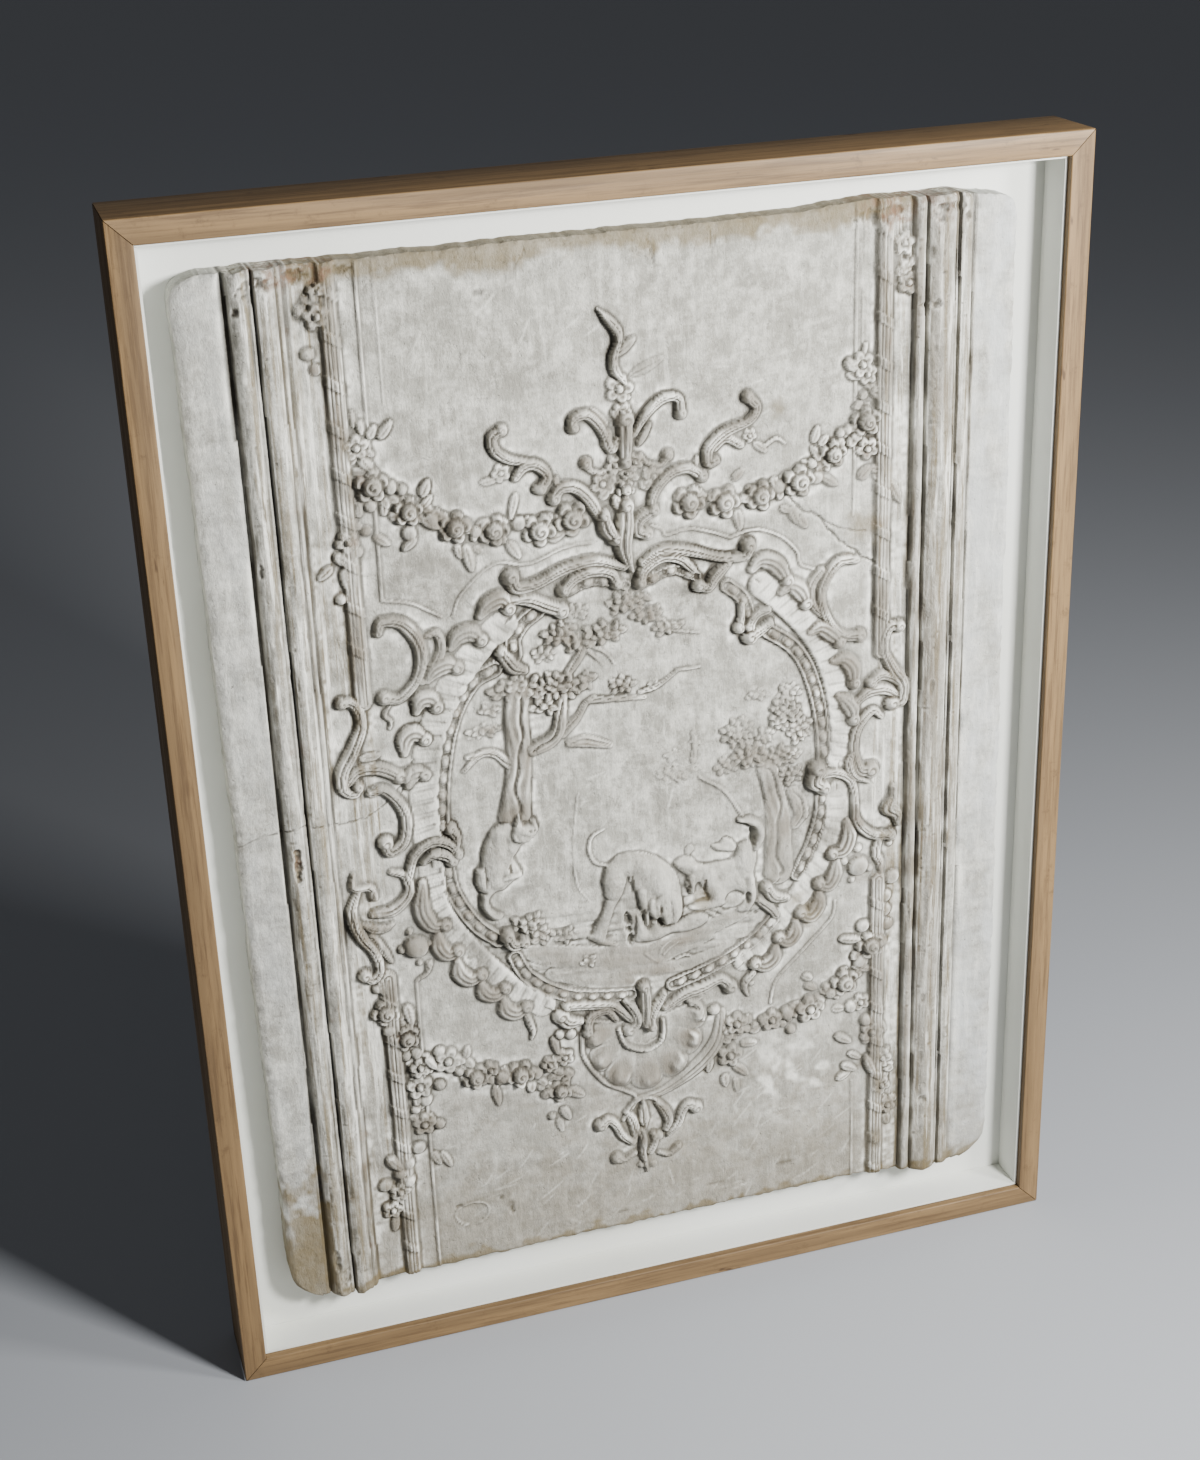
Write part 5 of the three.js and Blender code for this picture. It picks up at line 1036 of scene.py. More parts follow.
class Finish:
    """What the plaster's surface carries at each point, from 0 to 1: dirt and painted shade in the crevices
    and on slopes that face left and down, chalky worn arrises, halos and scratches, brown handling on the
    raised forms, a browner tone towards the bottom and over the right mouldings, streaks on the mouldings,
    whitened bands, tan damp stains and rust-brown breaks."""
    KEYS = ("dirt", "worn", "warm", "run", "band", "tan", "rust")

    def __init__(self, relief):
        h = relief.h
        gx, gz = np.meshgrid(relief.x, relief.z)
        self.h, self.gx, self.gz = h, gx, gz
        self.fine, self.wide, self.broad = blurred(h, 1), blurred(h, 3), blurred(h, 7)
        self.patch = 0.5 + 0.5 * noise(gx, gz, 38, 50)
        self.rough = 0.5 * noise(gx, gz, 16, 51) + 0.4 * noise(gx, gz, 6, 52)
        self.flat = (gx > FIELD_LEFT) & (gx < FIELD_RIGHT - 1)
        self.across = gx + LEAN * gz + 0.5 * noise(gx, gz, 18, 57)
        # Painted shade: the side term darkens slopes that face left and down, as if lit from the upper right;
        # the crevice mask adds dirt and painted shade in crevices and at the feet of forms, and keeps chalk
        # off them.
        side = np.gradient(h, axis=1) * 0.36 + np.gradient(h, axis=0) * 0.14
        self.crevice_dirt_and_shade = (self.fine - h) * 2.1 + np.clip(self.wide - h - 0.6, 0, 3) * 0.4 + side
        self.cove = np.abs(h - relief.cove) < 0.35
        beside_field = (gx < STREAKED_LEFT) | (gx > STREAKED_RIGHT)
        self.run = beside_field * ((gx > BAND_LEFT) & (gx < BAND_RIGHT)) * 1.0
        # The dirt attribute holds dirt and painted shade together.
        self.dirt = self.dirt_and_shade()
        self.worn = self.chalk(relief.pale)
        self.warm = self.handling()
        self.band = self.whitening()
        self.tan = self.damp()
        self.rust = self.breaks()

    def dirt_and_shade(self):
        """Dirt and painted shade in the crevices, at the feet of forms and on slopes that face left and down,
        dirt and painted shade in the low parts of the mouldings and along the edges of their members, and
        dirt in a few dark spots.
        """
        gx, gz = self.gx, self.gz
        # Low parts of the mouldings and the edges of their members are darkened: partly dirt, partly painted
        # shade of the steps between members.
        grooves = self.run * unit((7 - self.h) / 3.5) * ((gx < FIELD_LEFT) | (gx > FIELD_RIGHT)) * 0.75
        edges = [edge for member in MEMBERS for edge in member[:2]]
        joints = np.maximum.reduce([bell(self.across - edge, 1.5) for edge in edges])
        grooves = np.maximum(grooves, joints * unit(0.75 + 0.6 * noise(gx, gz * 0.3, 12, 58)))
        spots = np.maximum.reduce([
            unit(1.4 - np.hypot((gx - x) / half_x, (gz - z) / half_z) + 0.8 * self.rough)
            for x, z, half_x, half_z in DARK_SPOTS
        ])
        return np.maximum.reduce([unit(self.crevice_dirt_and_shade), grooves, 0.8 * spots]) * (0.7 + 0.45 * self.patch)

    def chalk(self, pale):
        """Chalky arrises, bleached halos beside the forms, pale coves, scratches and one smear."""
        gx, gz, h = self.gx, self.gz, self.h
        bleached = unit(0.6 + 1.5 * noise(gx, gz, 30, 53)) * unit(1 - 1.3 * self.crevice_dirt_and_shade)
        near = 0.6 * np.clip(self.wide - h - 0.2, 0, 1.2) + 0.5 * np.clip(self.broad - h - 0.3, 0, 1.2)
        halo = near * (h < 2.4) * self.flat * bleached * np.clip(0.8 + noise(gx, gz, 4, 66), 0.2, 1.4)
        crest = unit((h - self.fine) * 1.6 - 0.1) * np.clip(0.42 + 1.1 * noise(gx, gz, 20, 55), 0.1, 1)
        coves = self.cove * pale * unit(0.5 + 0.9 * noise(gx, gz, 24, 56)) * unit(1 - 1.5 * self.crevice_dirt_and_shade)
        worn = unit(np.maximum.reduce([crest + halo * 1.15, 0.85 * coves, self.scratches()]))
        smear = np.exp(-(((gx - 150) / 60) ** 2) - ((gz + 335) / 46) ** 2) * (h < 1)
        smear = smear * unit(1.6 * noise(gx + 0.5 * gz, gz, 15, 62) + 0.6 * noise(gx, gz, 5, 63))
        return np.maximum(worn, smear)

    def scratches(self):
        """Short straight scratches in the flat fields: near a segment the value rises to its strength."""
        gx, gz = self.gx, self.gz
        rng = np.random.default_rng(90)
        lines = np.zeros(gx.shape)
        for x0, x1, z0, z1, count in SCRATCHED:
            for _ in range(count):
                x, z = rng.uniform(x0, x1), rng.uniform(z0, z1)
                turn, half = rng.normal(0.7, 0.5), rng.uniform(4, 15)
                rows = slice(*np.searchsorted(gz[:, 0], (z - half, z + half)))
                cols = slice(*np.searchsorted(gx[0], (x - half, x + half)))
                along, off = turned(gx[rows, cols] - x, gz[rows, cols] - z, turn)
                near = unit(1.4 - np.abs(off - 0.004 * along**2))
                mark = rng.uniform(0.1, 0.42) * near * unit((half - np.abs(along)) / 4)
                lines[rows, cols] = np.maximum(lines[rows, cols], mark)
        return lines

    def handling(self):
        """Brown handling on the raised forms, a browner tone that grows towards the bottom, and a brown tone
        over the right mouldings that is deepest at their left side.
        """
        gx, gz = self.gx, self.gz
        handled = unit((self.h - 1.0) / 1.8) * self.flat * unit(0.8 + 0.45 * noise(gx, gz, 26, 54))
        # Darker and browner towards the bottom of the field.
        browner_low_down = 0.5 * unit((-90 - gz) / 340 + 0.35 * self.rough) * self.flat
        right_run = (self.across > MEMBERS[4][0]) & (self.across < BAND_RIGHT)
        # A brown tone over the right mouldings, deepest at their left side and fading towards their right
        # edge.
        right_run_tone = 0.75 + 0.5 * noise(gx * 3, gz * 0.4, 30, 59) - 0.012 * (self.across - 262)
        return np.maximum.reduce([handled * np.where(self.cove, 0.3, 1), browner_low_down,
                                  right_run * np.clip(right_run_tone, 0, 0.9)])

    def whitening(self):
        """The whitened bands along both sides, stained in places."""
        gx, gz = self.gx, self.gz
        stained = 0.72 + 0.55 * noise(gx * 1.6, gz * 0.5, 24, 64) + 0.3 * noise(gx, gz, 7, 65)
        bands = np.where(gx > BAND_RIGHT, 1.0, 0) + np.where(gx < BAND_LEFT, 0.5, 0)
        return bands * np.clip(stained, 0.15, 1)

    def damp(self):
        """Tan stains: risen damp at the lower left, spots, the foot and the upper rim."""
        gx, gz, rough = self.gx, self.gz, self.rough
        stains = unit((-345 - gz) / 40 + 1.8 * rough) * unit((-313 - gx - LEAN * gz) / 4)
        stains = np.maximum(stains, 0.8 * unit((-425 - gz) / 30 + rough) * unit((-303 - gx) / 4))
        for x, z, size in DAMP_SPOTS:
            stains = np.maximum(stains, 0.6 * unit(1.2 - np.hypot(gx - x, gz - z) / size + rough))
        soiled = 0.3 * unit((-330 - gz) / 120 + rough)
        foot = np.maximum(unit((-466 - gz) / 9 + 1.9 * rough), soiled)
        rim = 0.9 * unit((gz - 481 + 10 * self.patch) / 9 + 1.3 * rough) * (gz > 466) * self.flat
        return np.maximum.reduce([stains, foot, rim])

    def breaks(self):
        """Brown breaks at two places of the top edge, and in the blow on the left run."""
        gx, gz = self.gx, self.gz
        top = unit((gz - 478) / 10 + 1.2 * self.rough)
        places = np.maximum(unit(1 - np.abs(gx + 268) / 44), unit(1 - np.abs(gx - 246) / 56))
        rust = np.clip(top * places * 2.2 - 0.35 + 0.9 * self.rough, 0, 0.9) * (places > 0)
        blow = unit(1.2 - np.hypot((gx + 312) / 4, (gz + 18) / 15))
        return np.maximum(rust, blow)


def surface_normals(px, py, pz):
    """Unit normals of the grid surface, from the cross product of its two tangents."""
    along_x = np.stack([np.gradient(v, axis=1) for v in (px, py, pz)], -1)
    along_z = np.stack([np.gradient(v, axis=0) for v in (px, py, pz)], -1)
    normal = np.cross(along_x, along_z)
    return normal / np.linalg.norm(normal, axis=-1, keepdims=True)


def mesh_from_arrays(name, vertices, faces, normals, attributes):
    """A mesh of three- and four-sided faces with given corner normals and point attributes."""
    mesh = bpy.data.meshes.new(name)
    mesh.vertices.add(len(vertices))
    mesh.vertices.foreach_set("co", np.ascontiguousarray(vertices, np.float32).ravel())
    sizes = np.concatenate([np.full(len(group), group.shape[1]) for group in faces])
    corners = np.concatenate([group.ravel() for group in faces]).astype(np.int32)
    starts = np.concatenate([[0], np.cumsum(sizes)[:-1]]).astype(np.int32)
    mesh.loops.add(len(corners))
    mesh.loops.foreach_set("vertex_index", corners)
    mesh.polygons.add(len(sizes))
    mesh.polygons.foreach_set("loop_start", starts)
    mesh.polygons.foreach_set("use_smooth", np.ones(len(sizes), bool))
    mesh.update(calc_edges=True)
    for key, values in attributes.items():
        mesh.attributes.new(key, "FLOAT", "POINT").data.foreach_set("value", values.astype(np.float32))
    mesh.normals_split_custom_set(normals)
    mesh.validate()
    return mesh


def slab_tile(name, rows, place, normal, finish):
    """One strip of the slab: the carved front, four walls back to the board, and a fan of triangles
    behind. Front normals come from the whole surface, so that strips meet without a seam."""
    height, width = place[rows].shape[:2]
    front = place[rows].reshape(-1, 3)
    number = np.arange(height * width).reshape(height, width)
    corners = (number[:-1, :-1], number[:-1, 1:], number[1:, 1:], number[1:, :-1])
    quads = np.stack(corners, -1).reshape(-1, 4)
    ring = np.concatenate([number[0, :-1], number[:-1, -1], number[-1, :0:-1], number[:0:-1, 0]])
    behind = front[ring].copy()
    behind[:, 1] = BACK_Y
    first = len(front)
    back = first + np.arange(len(ring))
    walls = np.stack([ring, back, np.roll(back, -1), np.roll(ring, -1)], -1)
    fan = np.stack([np.roll(back, -1), back, np.full(len(ring), first + len(ring))], -1)
    vertices = np.vstack([front, behind, behind.mean(0)])
    rim, behind_rim, _, next_rim = (vertices[walls[:, k]] for k in range(4))
    outward = np.cross(behind_rim - rim, next_rim - rim)
    outward /= np.maximum(np.linalg.norm(outward, axis=1, keepdims=True), 1e-12)
    normals = np.vstack([normal[rows].reshape(-1, 3)[quads.ravel()], np.repeat(outward, 4, 0),
                         np.tile([0.0, 1.0, 0.0], (fan.size, 1))])
    attributes = {}
    for key in Finish.KEYS:
        values = getattr(finish, key)[rows].ravel()
        attributes[key] = np.concatenate([values, values[ring], [0]])
    return mesh_from_arrays(name, vertices, [quads, walls, fan], normals, attributes)


def add_piece(name, mesh, material, node):
    """Puts a finished mesh into the scene in place of a CAD node."""
    piece = bpy.data.objects.new(name, mesh)
    bpy.context.scene.collection.objects.link(piece)
    piece.data.materials.append(material)
    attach(piece, "root")
    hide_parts(node)


class Nodes:
    """A short way to build a node tree: each call adds a node, sets it and links its inputs."""

    def __init__(self, name):
        self.material = bpy.data.materials.new(name)
        self.material.use_nodes = True
        self.tree = self.material.node_tree
        self.shader = self.tree.nodes["Principled BSDF"]
        self.place = self.add("ShaderNodeTexCoord").outputs["Object"]

    def add(self, kind, inputs=None, **settings):
        node = self.tree.nodes.new(kind)
        for key, value in settings.items():
            setattr(node, key, value)
        for key, value in (inputs or {}).items():
            self.feed(node.inputs[key], value)
        return node

    def feed(self, socket, value):
        """Links a socket to another one, or sets its constant."""
        if isinstance(value, bpy.types.NodeSocket):
            self.tree.links.new(value, socket)
        else:
            socket.default_value = value

    def stretched(self, stretch):
        """The place on the object, with its pattern squeezed by these factors along x, y and z."""
        return self.add("ShaderNodeMapping", {"Vector": self.place, "Scale": stretch}).outputs[0]

    def noise(self, scale, detail=4, roughness=0.55, stretch=(1, 1, 1)):
        inputs = {"Vector": self.stretched(stretch), "Scale": scale, "Detail": detail, "Roughness": roughness}
        return self.add("ShaderNodeTexNoise", inputs).outputs["Fac"]

    def range(self, value, low, high, to_low=0.0, to_high=1.0):
        inputs = {"Value": value, "From Min": low, "From Max": high, "To Min": to_low, "To Max": to_high}
        return self.add("ShaderNodeMapRange", inputs).outputs[0]

    def mix(self, share, a, b):
        node = self.add("ShaderNodeMix", {0: share, 6: a, 7: b}, data_type="RGBA")
        return node.outputs[2]

    def coat(self, under, tint, noise, span, attribute=None):
        """A colour over the one under it, in patches where noise passes through the span, and only as
        far as the attribute says where one is named."""
        share = self.range(self.noise(*noise), *span)
        if attribute:
            marked = self.add("ShaderNodeAttribute", attribute_name=attribute).outputs["Fac"]
            share = self.add("ShaderNodeMath", {0: marked, 1: share}, operation="MULTIPLY").outputs[0]
        return self.mix(share, under, (*tint, 1))

    def bump(self, height, strength, distance, under=None):
        inputs = {"Height": height, "Strength": strength, "Distance": distance}
        if under is not None:
            inputs["Normal"] = under
        return self.add("ShaderNodeBump", inputs).outputs[0]

    def finish(self, colour, roughness, bump, specular=0.5):
        """Puts colour, roughness, bump and specular level on the shader, and returns the material."""
        self.feed(self.shader.inputs["Base Color"], colour)
        self.feed(self.shader.inputs["Roughness"], roughness)
        self.feed(self.shader.inputs["Normal"], bump)
        self.shader.inputs["Specular IOR Level"].default_value = specular
        return self.material


def plaster_material(colours):
    """Old bare stucco, coat over coat: blotches, chalky clouds, whitened bands, brushed streaks and smears,
    streaks and scrapes down the mouldings, brown handling, worn chalk, dirt with painted shade in the
    crevices and on slopes that face left and down, tan stains, brown breaks and specks."""
    n = Nodes("old_plaster")
    blotch = n.range(n.noise(7, 6, 0.6), 0.34, 0.66)
    colour = n.mix(blotch, (*colours.plaster_shade, 1), (*colours.plaster_light, 1))
    coats = (
        (colours.plaster_chalk, (46, 8, 0.8), (0.44, 0.62, 0, 0.42), None),
        (colours.plaster_band, (12, 5, 0.6, (1, 1, 0.3)), (0.25, 0.6, 0.3, 0.95), "band"),
        (colours.plaster_chalk, (120, 5, 0.7, (1, 1, 0.14)), (0.52, 0.7, 0, 0.3), None),
        (colours.plaster_dirt_and_shade, (60, 6, 0.75, (0.3, 1, 1)), (0.5, 0.7, 0, 0.22), None),
        (colours.plaster_tan, (150, 5, 0.65, (1, 1, 0.035)), (0.46, 0.62, 0, 0.8), "run"),
        (colours.plaster_chalk, (190, 4, 0.65, (1, 1, 0.05)), (0.52, 0.64, 0, 0.85), "run"),
        (colours.plaster_handled, (46, 4, 0.6), (0.3, 0.7, 0.45, 1.0), "warm"),
        (colours.plaster_chalk, (60, 4), (0.3, 0.6, 0.45, 1.0), "worn"),
        # Dirt and painted shade, where the dirt attribute marks crevices, the feet of forms and slopes that
        # face left and down.
        (colours.plaster_dirt_and_shade, (24, 4), (0.3, 0.7, 0.55, 1.0), "dirt"),
        (colours.plaster_tan, (22, 5, 0.65), (0.3, 0.7, 0.6, 0.97), "tan"),
        (colours.plaster_rust, (70, 4, 0.7), (0.42, 0.62, 0.0, 0.85), "rust"),
        (colours.plaster_dirt_and_shade, (230, 3, 0.6), (0.68, 0.74, 0, 0.6), None),
    )
    for tint, pattern, span, attribute in coats:
        colour = n.coat(colour, tint, pattern, span, attribute)
    grain = n.bump(n.noise(620, 4, 0.6), 0.4, 0.0006)
    trowel = n.bump(n.noise(110, 6, 0.7, (1, 1, 0.5)), 0.9, 0.0026, grain)
    pits = n.bump(n.range(n.noise(150, 2, 0.5), 0.27, 0.34), 0.5, 0.0008, trowel)
    return n.finish(colour, n.range(blotch, 0, 1, 0.82, 0.94), pits, 0.28)


def wood_material(name, colours, upright):
    """Pale wood along one axis: growth bands and fibres from noise stretched along the rail, a few
    knots in oval cells, scuffs and nicks."""
    n = Nodes(name)

    def lengthwise(along, across=1):
        return (across, across, along) if upright else (along, across, across)

    fibre = lengthwise(0.035)
    bands = n.range(n.noise(75, 4, 0.55, fibre), 0.4, 0.6)
    colour = n.mix(bands, (*colours.wood_shade, 1), (*colours.wood_light, 1))
    colour = n.coat(colour, colours.wood_dark, (380, 5, 0.7, fibre), (0.47, 0.62, 0, 0.6))
    colour = n.coat(colour, colours.wood_shade, (5, 3), (0.35, 0.7, 0, 0.3))
    cells = n.add("ShaderNodeTexVoronoi", {"Vector": n.stretched(lengthwise(0.55, 1.6)), "Scale": 9.0})
    knots = n.range(cells.outputs["Distance"], 0.07, 0.02, 0, 0.9)
    colour = n.mix(knots, colour, (*colours.wood_dark, 1))
    colour = n.coat(colour, colours.wood_dark, (60, 6, 0.75), (0.58, 0.72, 0, 0.6))
    colour = n.coat(colour, colours.wood_dark, (48, 3, 0.6, lengthwise(0.3)), (0.69, 0.72, 0, 0.85))
    pores = n.bump(n.noise(520, 5, 0.7, fibre), 0.4, 0.0004)
    return n.finish(colour, n.range(bands, 0, 1, 0.62, 0.5), pores, 0.35)


def paint_material(colours):
    """White emulsion on board: brush nap, a little yellowing and faint grey scuffs."""
    n = Nodes("white_paint")
    age = n.range(n.noise(4, 5, 0.6), 0.35, 0.7)
    colour = n.mix(age, (*colours.paint, 1), (*colours.paint_aged, 1))
    colour = n.coat(colour, colours.paint_scuff, (34, 6, 0.75), (0.66, 0.8, 0, 0.12))
    nap = n.bump(n.noise(420, 4, 0.6), 0.25, 0.0004)
    return n.finish(colour, n.range(n.noise(60, 3), 0.3, 0.7, 0.55, 0.72), nap)


def rail_mesh(node, rounding):
    """A rail as a profile carried along a path: a rectangle with rounded arrises, run from one mitre to
    the other. Each point of the profile runs as far as the mitre lets it."""
    low, high = (np.array(corner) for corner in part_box(node))
    upright = (high - low)[2] > (high - low)[0]
    run, face = (2, 0) if upright else (0, 2)
    middle = MIDDLE_X if upright else MIDDLE_Z
    inward = 1 if (low[face] + high[face]) / 2 < middle else -1
    corner = np.linspace(0, np.pi / 2, 5)
    arc_a, arc_b = rounding * (1 - np.cos(corner)), rounding * (1 - np.sin(corner))
    a, b, c, d = low[face], high[face], low[1], high[1]
    across = np.concatenate([a + arc_a[::-1], a + arc_a, b - arc_a[::-1], b - arc_a])
    depth = np.concatenate([d - arc_b[::-1], c + arc_b, c + arc_b[::-1], d - arc_b])
    step = np.linspace(0, 1, 61)
    inner = np.abs(across - (a if inward == 1 else b))
    start, end = low[run] + inner, high[run] - inner
    places = np.zeros((len(step), len(across), 3))
    places[..., run] = start + (end - start) * step[:, None]
    places[..., face] = across
    places[..., 1] = depth
    number = np.arange(len(step) * len(across)).reshape(len(step), len(across))
    ahead = np.roll(number, -1, 1)
    sides = np.stack([number[:-1], ahead[:-1], ahead[1:], number[1:]], -1).reshape(-1, 4)
    mesh = bpy.data.meshes.new(node + "_rounded")
    mesh.from_pydata(places.reshape(-1, 3).tolist(), [],
                     [*sides.tolist(), number[0].tolist(), number[-1][::-1].tolist()])
    facing_out(mesh)
    return mesh


def facing_out(mesh):
    """Merges doubles and turns the faces outwards, then smooths over shallow edges only."""
    work = bmesh.new()
    work.from_mesh(mesh)
    bmesh.ops.remove_doubles(work, verts=work.verts, dist=1e-6)
    bmesh.ops.recalc_face_normals(work, faces=work.faces)
    work.to_mesh(mesh)
    work.free()
    mesh.shade_smooth()
    mesh.set_sharp_from_angle(angle=math.radians(32))


def colour(name, description, value):
    """A colour property, in scene-linear values."""
    return bpy.props.FloatVectorProperty(name=name, description=description, default=value, size=3,
                                         subtype="COLOR", min=0, max=1)


def light_power(name, description, watts):
    """The power of a light, in watts."""
    return bpy.props.FloatProperty(name=name, description=description, default=watts, unit="POWER")


class FragmentSizes(bpy.types.PropertyGroup):
    """Sizes that a user may change."""
    rail_rounding: bpy.props.FloatProperty(
        name="Rail rounding", description="Radius of the rails' arrises", default=0.0012, unit="LENGTH")


class FragmentColours(bpy.types.PropertyGroup):
    """Colours of the plaster, the wood and the paint."""
    plaster_light: colour("Plaster", "Main tone of the bare stucco", (0.335, 0.328, 0.285))
    plaster_shade: colour("Plaster in shade", "Darker blotches of the stucco", (0.24, 0.23, 0.195))
    plaster_chalk: colour("Chalk", "Worn and chalky places", (0.84, 0.825, 0.74))
    plaster_band: colour("Whitened bands", "Flat bands along the sides", (0.48, 0.49, 0.475))
    plaster_handled: colour("Handled plaster", "Brown tone on the raised forms", (0.15, 0.127, 0.094))
    # This colour paints dirt and also the painted shade in crevices and on slopes that face left and down.
    plaster_dirt_and_shade: colour("Dirt", "Dust and dirt in the hollows", (0.036, 0.030, 0.021))
    plaster_tan: colour("Damp stain", "Tan stains", (0.14, 0.105, 0.048))
    plaster_rust: colour("Brown break", "Broken places at the rim", (0.15, 0.08, 0.046))
    wood_light: colour("Wood", "Pale wood between the bands", (0.22, 0.137, 0.06))
    wood_shade: colour("Wood bands", "Growth bands of the wood", (0.145, 0.09, 0.04))
    wood_dark: colour("Wood pores", "Pores, knots and rubbed dirt", (0.06, 0.033, 0.014))
    paint: colour("Paint", "White paint of the board and lining", (0.69, 0.70, 0.655))
    paint_aged: colour("Aged paint", "Yellowed places in the paint", (0.65, 0.655, 0.60))
    paint_scuff: colour("Scuffs", "Grey scuffs on the paint", (0.36, 0.36, 0.34))


class StageSettings(bpy.types.PropertyGroup):
    """Floor and lights."""
    floor_colour: colour("Floor", "Pale studio floor", (0.34, 0.352, 0.372))
    key_power: light_power("Key light", "Power of the main light", 92)
    raking_power: light_power("Raking light", "Power of the light from the side", 33)
    fill_power: light_power("Fill light", "Power of the second light", 5)


class FRAGMENT_OT_carve(bpy.types.Operator):
    """Carve the plaster relief and cut it into strips"""
    bl_idname = "fragment.carve"
    bl_label = "Carve plaster"

    def execute(self, context):
        relief = carve()
        px, pz, inset = broken_edges(relief)
        gx, gz = np.meshgrid(relief.x, relief.z)
        roll_off = 2.6 * bell(inset, 2.2) * (1 + 0.5 * noise(gx, gz, 6, 44))
        hand = 0.22 * noise(gx, gz, 9, 42) + 0.16 * noise(gx, gz, 4, 46) + 0.35 * noise(gx, gz, 60, 43)
        brushed = 0.14 * noise(gx, gz * 0.2, 3.2, 47) + 0.1 * noise(gx * 0.2, gz, 3.6, 48)
        py = BACK_Y - (SLAB_THICKNESS + (relief.h + hand + brushed - roll_off)) * MM
        place = np.stack([MIDDLE_X + px * MM, py, MIDDLE_Z + pz * MM], -1)
        normal = surface_normals(*(place[..., k] for k in range(3)))
        finish = Finish(relief)
        material = plaster_material(context.scene.fragment_colours)
        cuts = np.linspace(0, len(relief.z) - 1, len(TILES) + 1).round().astype(int)
        for name, first, last in zip(TILES, cuts, cuts[1:]):
            mesh = slab_tile(name, slice(first, last + 1), place, normal, finish)
            add_piece(name, mesh, material, "Plaster_Relief")
        return {"FINISHED"}


class FRAGMENT_OT_rails(bpy.types.Operator):
    """Round the rails' arrises and give them their wood"""
    bl_idname = "fragment.rails"
    bl_label = "Finish rails"

    def execute(self, context):
        colours = context.scene.fragment_colours
        level = wood_material("pale_wood_level", colours, False)
        upright = wood_material("pale_wood_upright", colours, True)
        for side, material in (("Top", level), ("Bottom", level), ("Left", upright), ("Right", upright)):
            node = f"Frame_{side}_Rail"
            mesh = rail_mesh(node, context.scene.fragment_sizes.rail_rounding)
            add_piece(f"Wood_{side}_Rail", mesh, material, node)
        return {"FINISHED"}


class FRAGMENT_OT_paint(bpy.types.Operator):
    """Paint the board and its lining"""
    bl_idname = "fragment.paint"
    bl_label = "Paint board and lining"

    def execute(self, context):
        material = paint_material(context.scene.fragment_colours)
        for node in ("Backing_Board", "Lining_Top", "Lining_Bottom", "Lining_Left", "Lining_Right"):
            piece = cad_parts[node]
            piece.data.materials.clear()
            piece.data.materials.append(material)
        return {"FINISHED"}


def area_light(name, place, size, power):
    """A square soft light that looks at the middle of the frame."""
    light = bpy.data.lights.new(name, "AREA")
    light.size, light.energy = size, power
    lamp = bpy.data.objects.new(name, light)
    lamp.location = place
    look = Vector(FRAME_MIDDLE) - Vector(place)
    lamp.rotation_euler = look.to_track_quat("-Z", "Y").to_euler()
    bpy.context.scene.collection.objects.link(lamp)


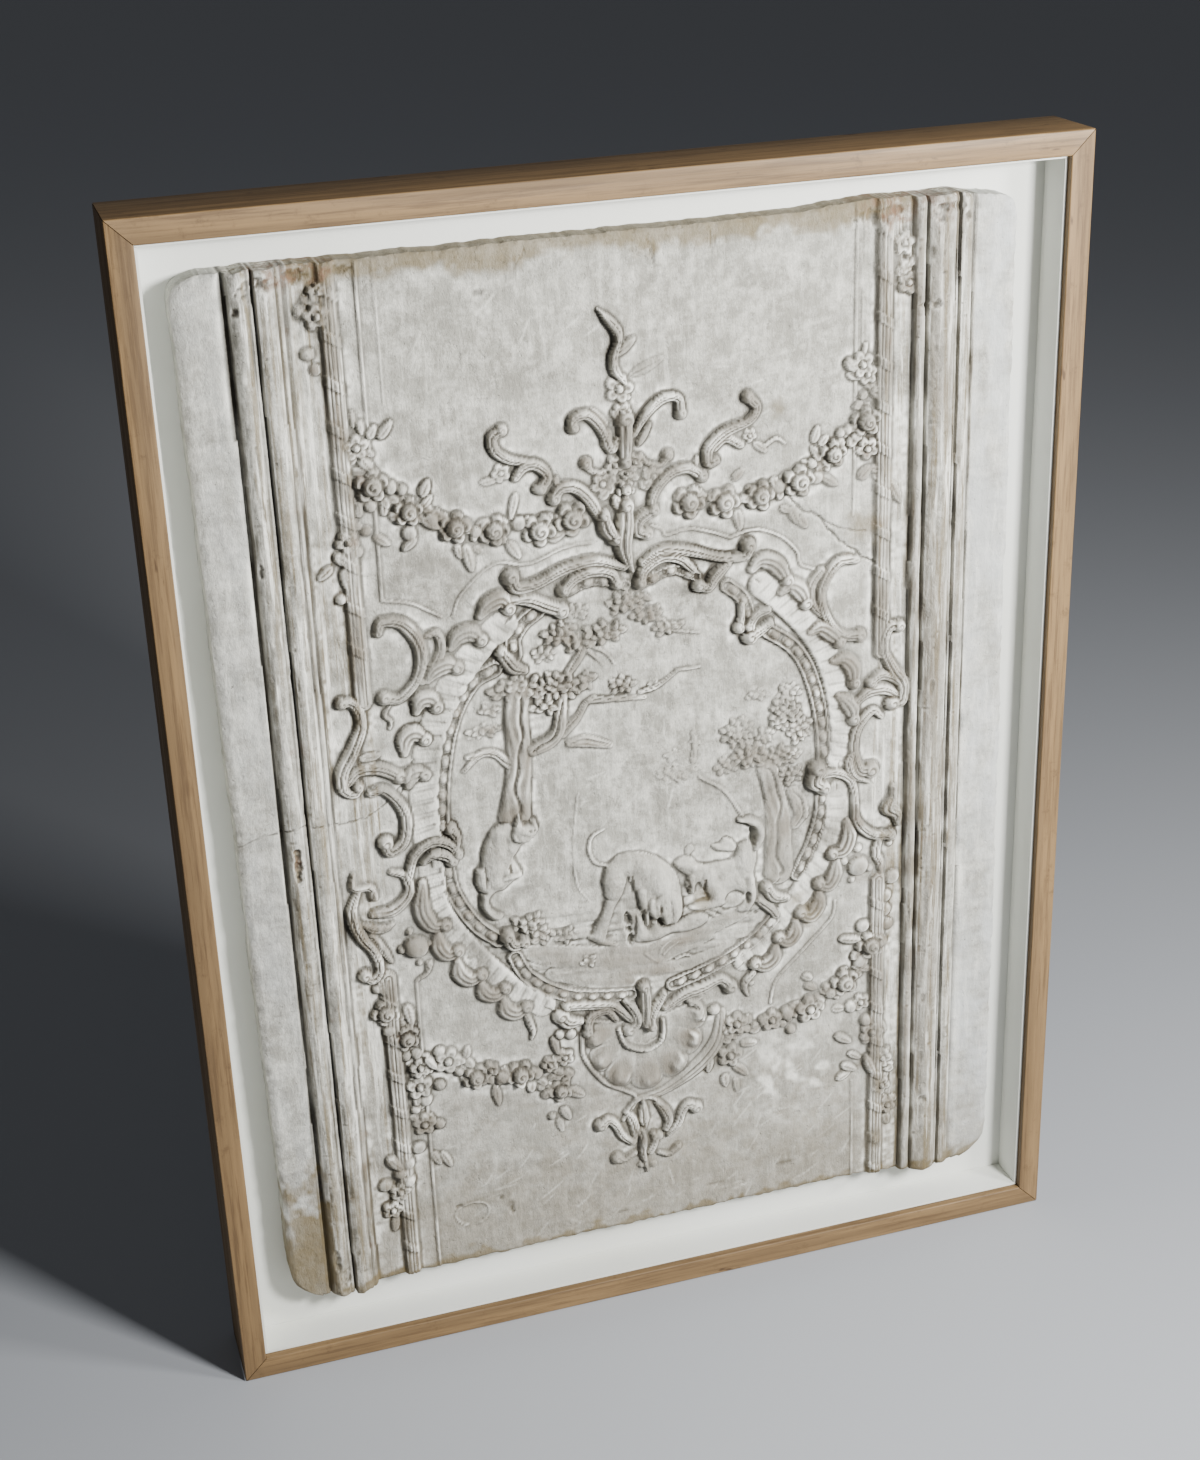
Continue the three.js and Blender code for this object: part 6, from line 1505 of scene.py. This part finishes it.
class FRAGMENT_OT_stage(bpy.types.Operator):
    """Set the floor, the lights and the camera"""
    bl_idname = "fragment.stage"
    bl_label = "Set stage"

    def execute(self, context):
        stage = context.scene.fragment_stage
        mesh = bpy.data.meshes.new("floor")
        reach = FLOOR_REACH
        corners = [(-reach, -reach), (reach, -reach), (reach, reach), (-reach, reach)]
        mesh.from_pydata([(x, y, FLOOR_Z) for x, y in corners], [], [(0, 1, 2, 3)])
        floor = bpy.data.objects.new("floor", mesh)
        context.scene.collection.objects.link(floor)
        n = Nodes("studio_floor")
        n.shader.inputs["Base Color"].default_value = (*stage.floor_colour, 1)
        n.shader.inputs["Roughness"].default_value = 0.6
        floor.data.materials.append(n.material)

        area_light("key", (0.85, FRONT_Y - 1.5, MIDDLE_Z + 0.8), 0.34, stage.key_power)
        area_light("raking", (1.4, FRONT_Y - 1.1, MIDDLE_Z + 0.85), 0.28, stage.raking_power)
        area_light("fill", (-1.2, -2.6, 0.2), 2.4, stage.fill_power)
        world = bpy.data.worlds.new("studio")
        world.use_nodes = True
        world.node_tree.nodes["Background"].inputs[0].default_value = (0.9, 0.93, 1, 1)
        world.node_tree.nodes["Background"].inputs[1].default_value = 0.1
        context.scene.world = world

        data = bpy.data.cameras.new("camera")
        data.sensor_fit = "VERTICAL"
        data.sensor_height = 24
        data.lens = FOCAL_PIXELS / IMAGE_HEIGHT * data.sensor_height
        data.clip_end = 200
        camera = bpy.data.objects.new("camera", data)
        camera.location = [a + b for a, b in zip(FRAME_MIDDLE, CAMERA_OFFSET)]
        camera.rotation_euler = Euler([math.radians(angle) for angle in CAMERA_TURN])
        context.scene.collection.objects.link(camera)
        context.scene.camera = camera
        return {"FINISHED"}


class FRAGMENT_PT_panel(bpy.types.Panel):
    """Steps and settings of the plaster fragment"""
    bl_idname = "FRAGMENT_PT_panel"
    bl_label = "Plaster fragment"
    bl_space_type = "VIEW_3D"
    bl_region_type = "UI"
    bl_category = "Plaster"

    def draw(self, context):
        for step in STEPS:
            self.layout.operator(step.bl_idname)
        for group in GROUPS:
            settings = getattr(context.scene, group)
            for key in settings.bl_rna.properties.keys():
                if key not in ("rna_type", "name"):
                    self.layout.prop(settings, key)


STEPS = (FRAGMENT_OT_stage, FRAGMENT_OT_rails, FRAGMENT_OT_paint, FRAGMENT_OT_carve)
GROUPS = {
    "fragment_sizes": FragmentSizes,
    "fragment_colours": FragmentColours,
    "fragment_stage": StageSettings,
}


def register():
    for group in GROUPS.values():
        bpy.utils.register_class(group)
    for step in (*STEPS, FRAGMENT_PT_panel):
        bpy.utils.register_class(step)
    for name, group in GROUPS.items():
        setattr(bpy.types.Scene, name, bpy.props.PointerProperty(type=group))


def unregister():
    for name in GROUPS:
        delattr(bpy.types.Scene, name)
    for step in (*STEPS, FRAGMENT_PT_panel):
        bpy.utils.unregister_class(step)
    for group in GROUPS.values():
        bpy.utils.unregister_class(group)


def main():
    register()
    bpy.ops.fragment.stage()
    bpy.ops.fragment.rails()
    bpy.ops.fragment.paint()
    bpy.ops.fragment.carve()
    bpy.context.view_layer.update()


if __name__ == "__main__":
    main()
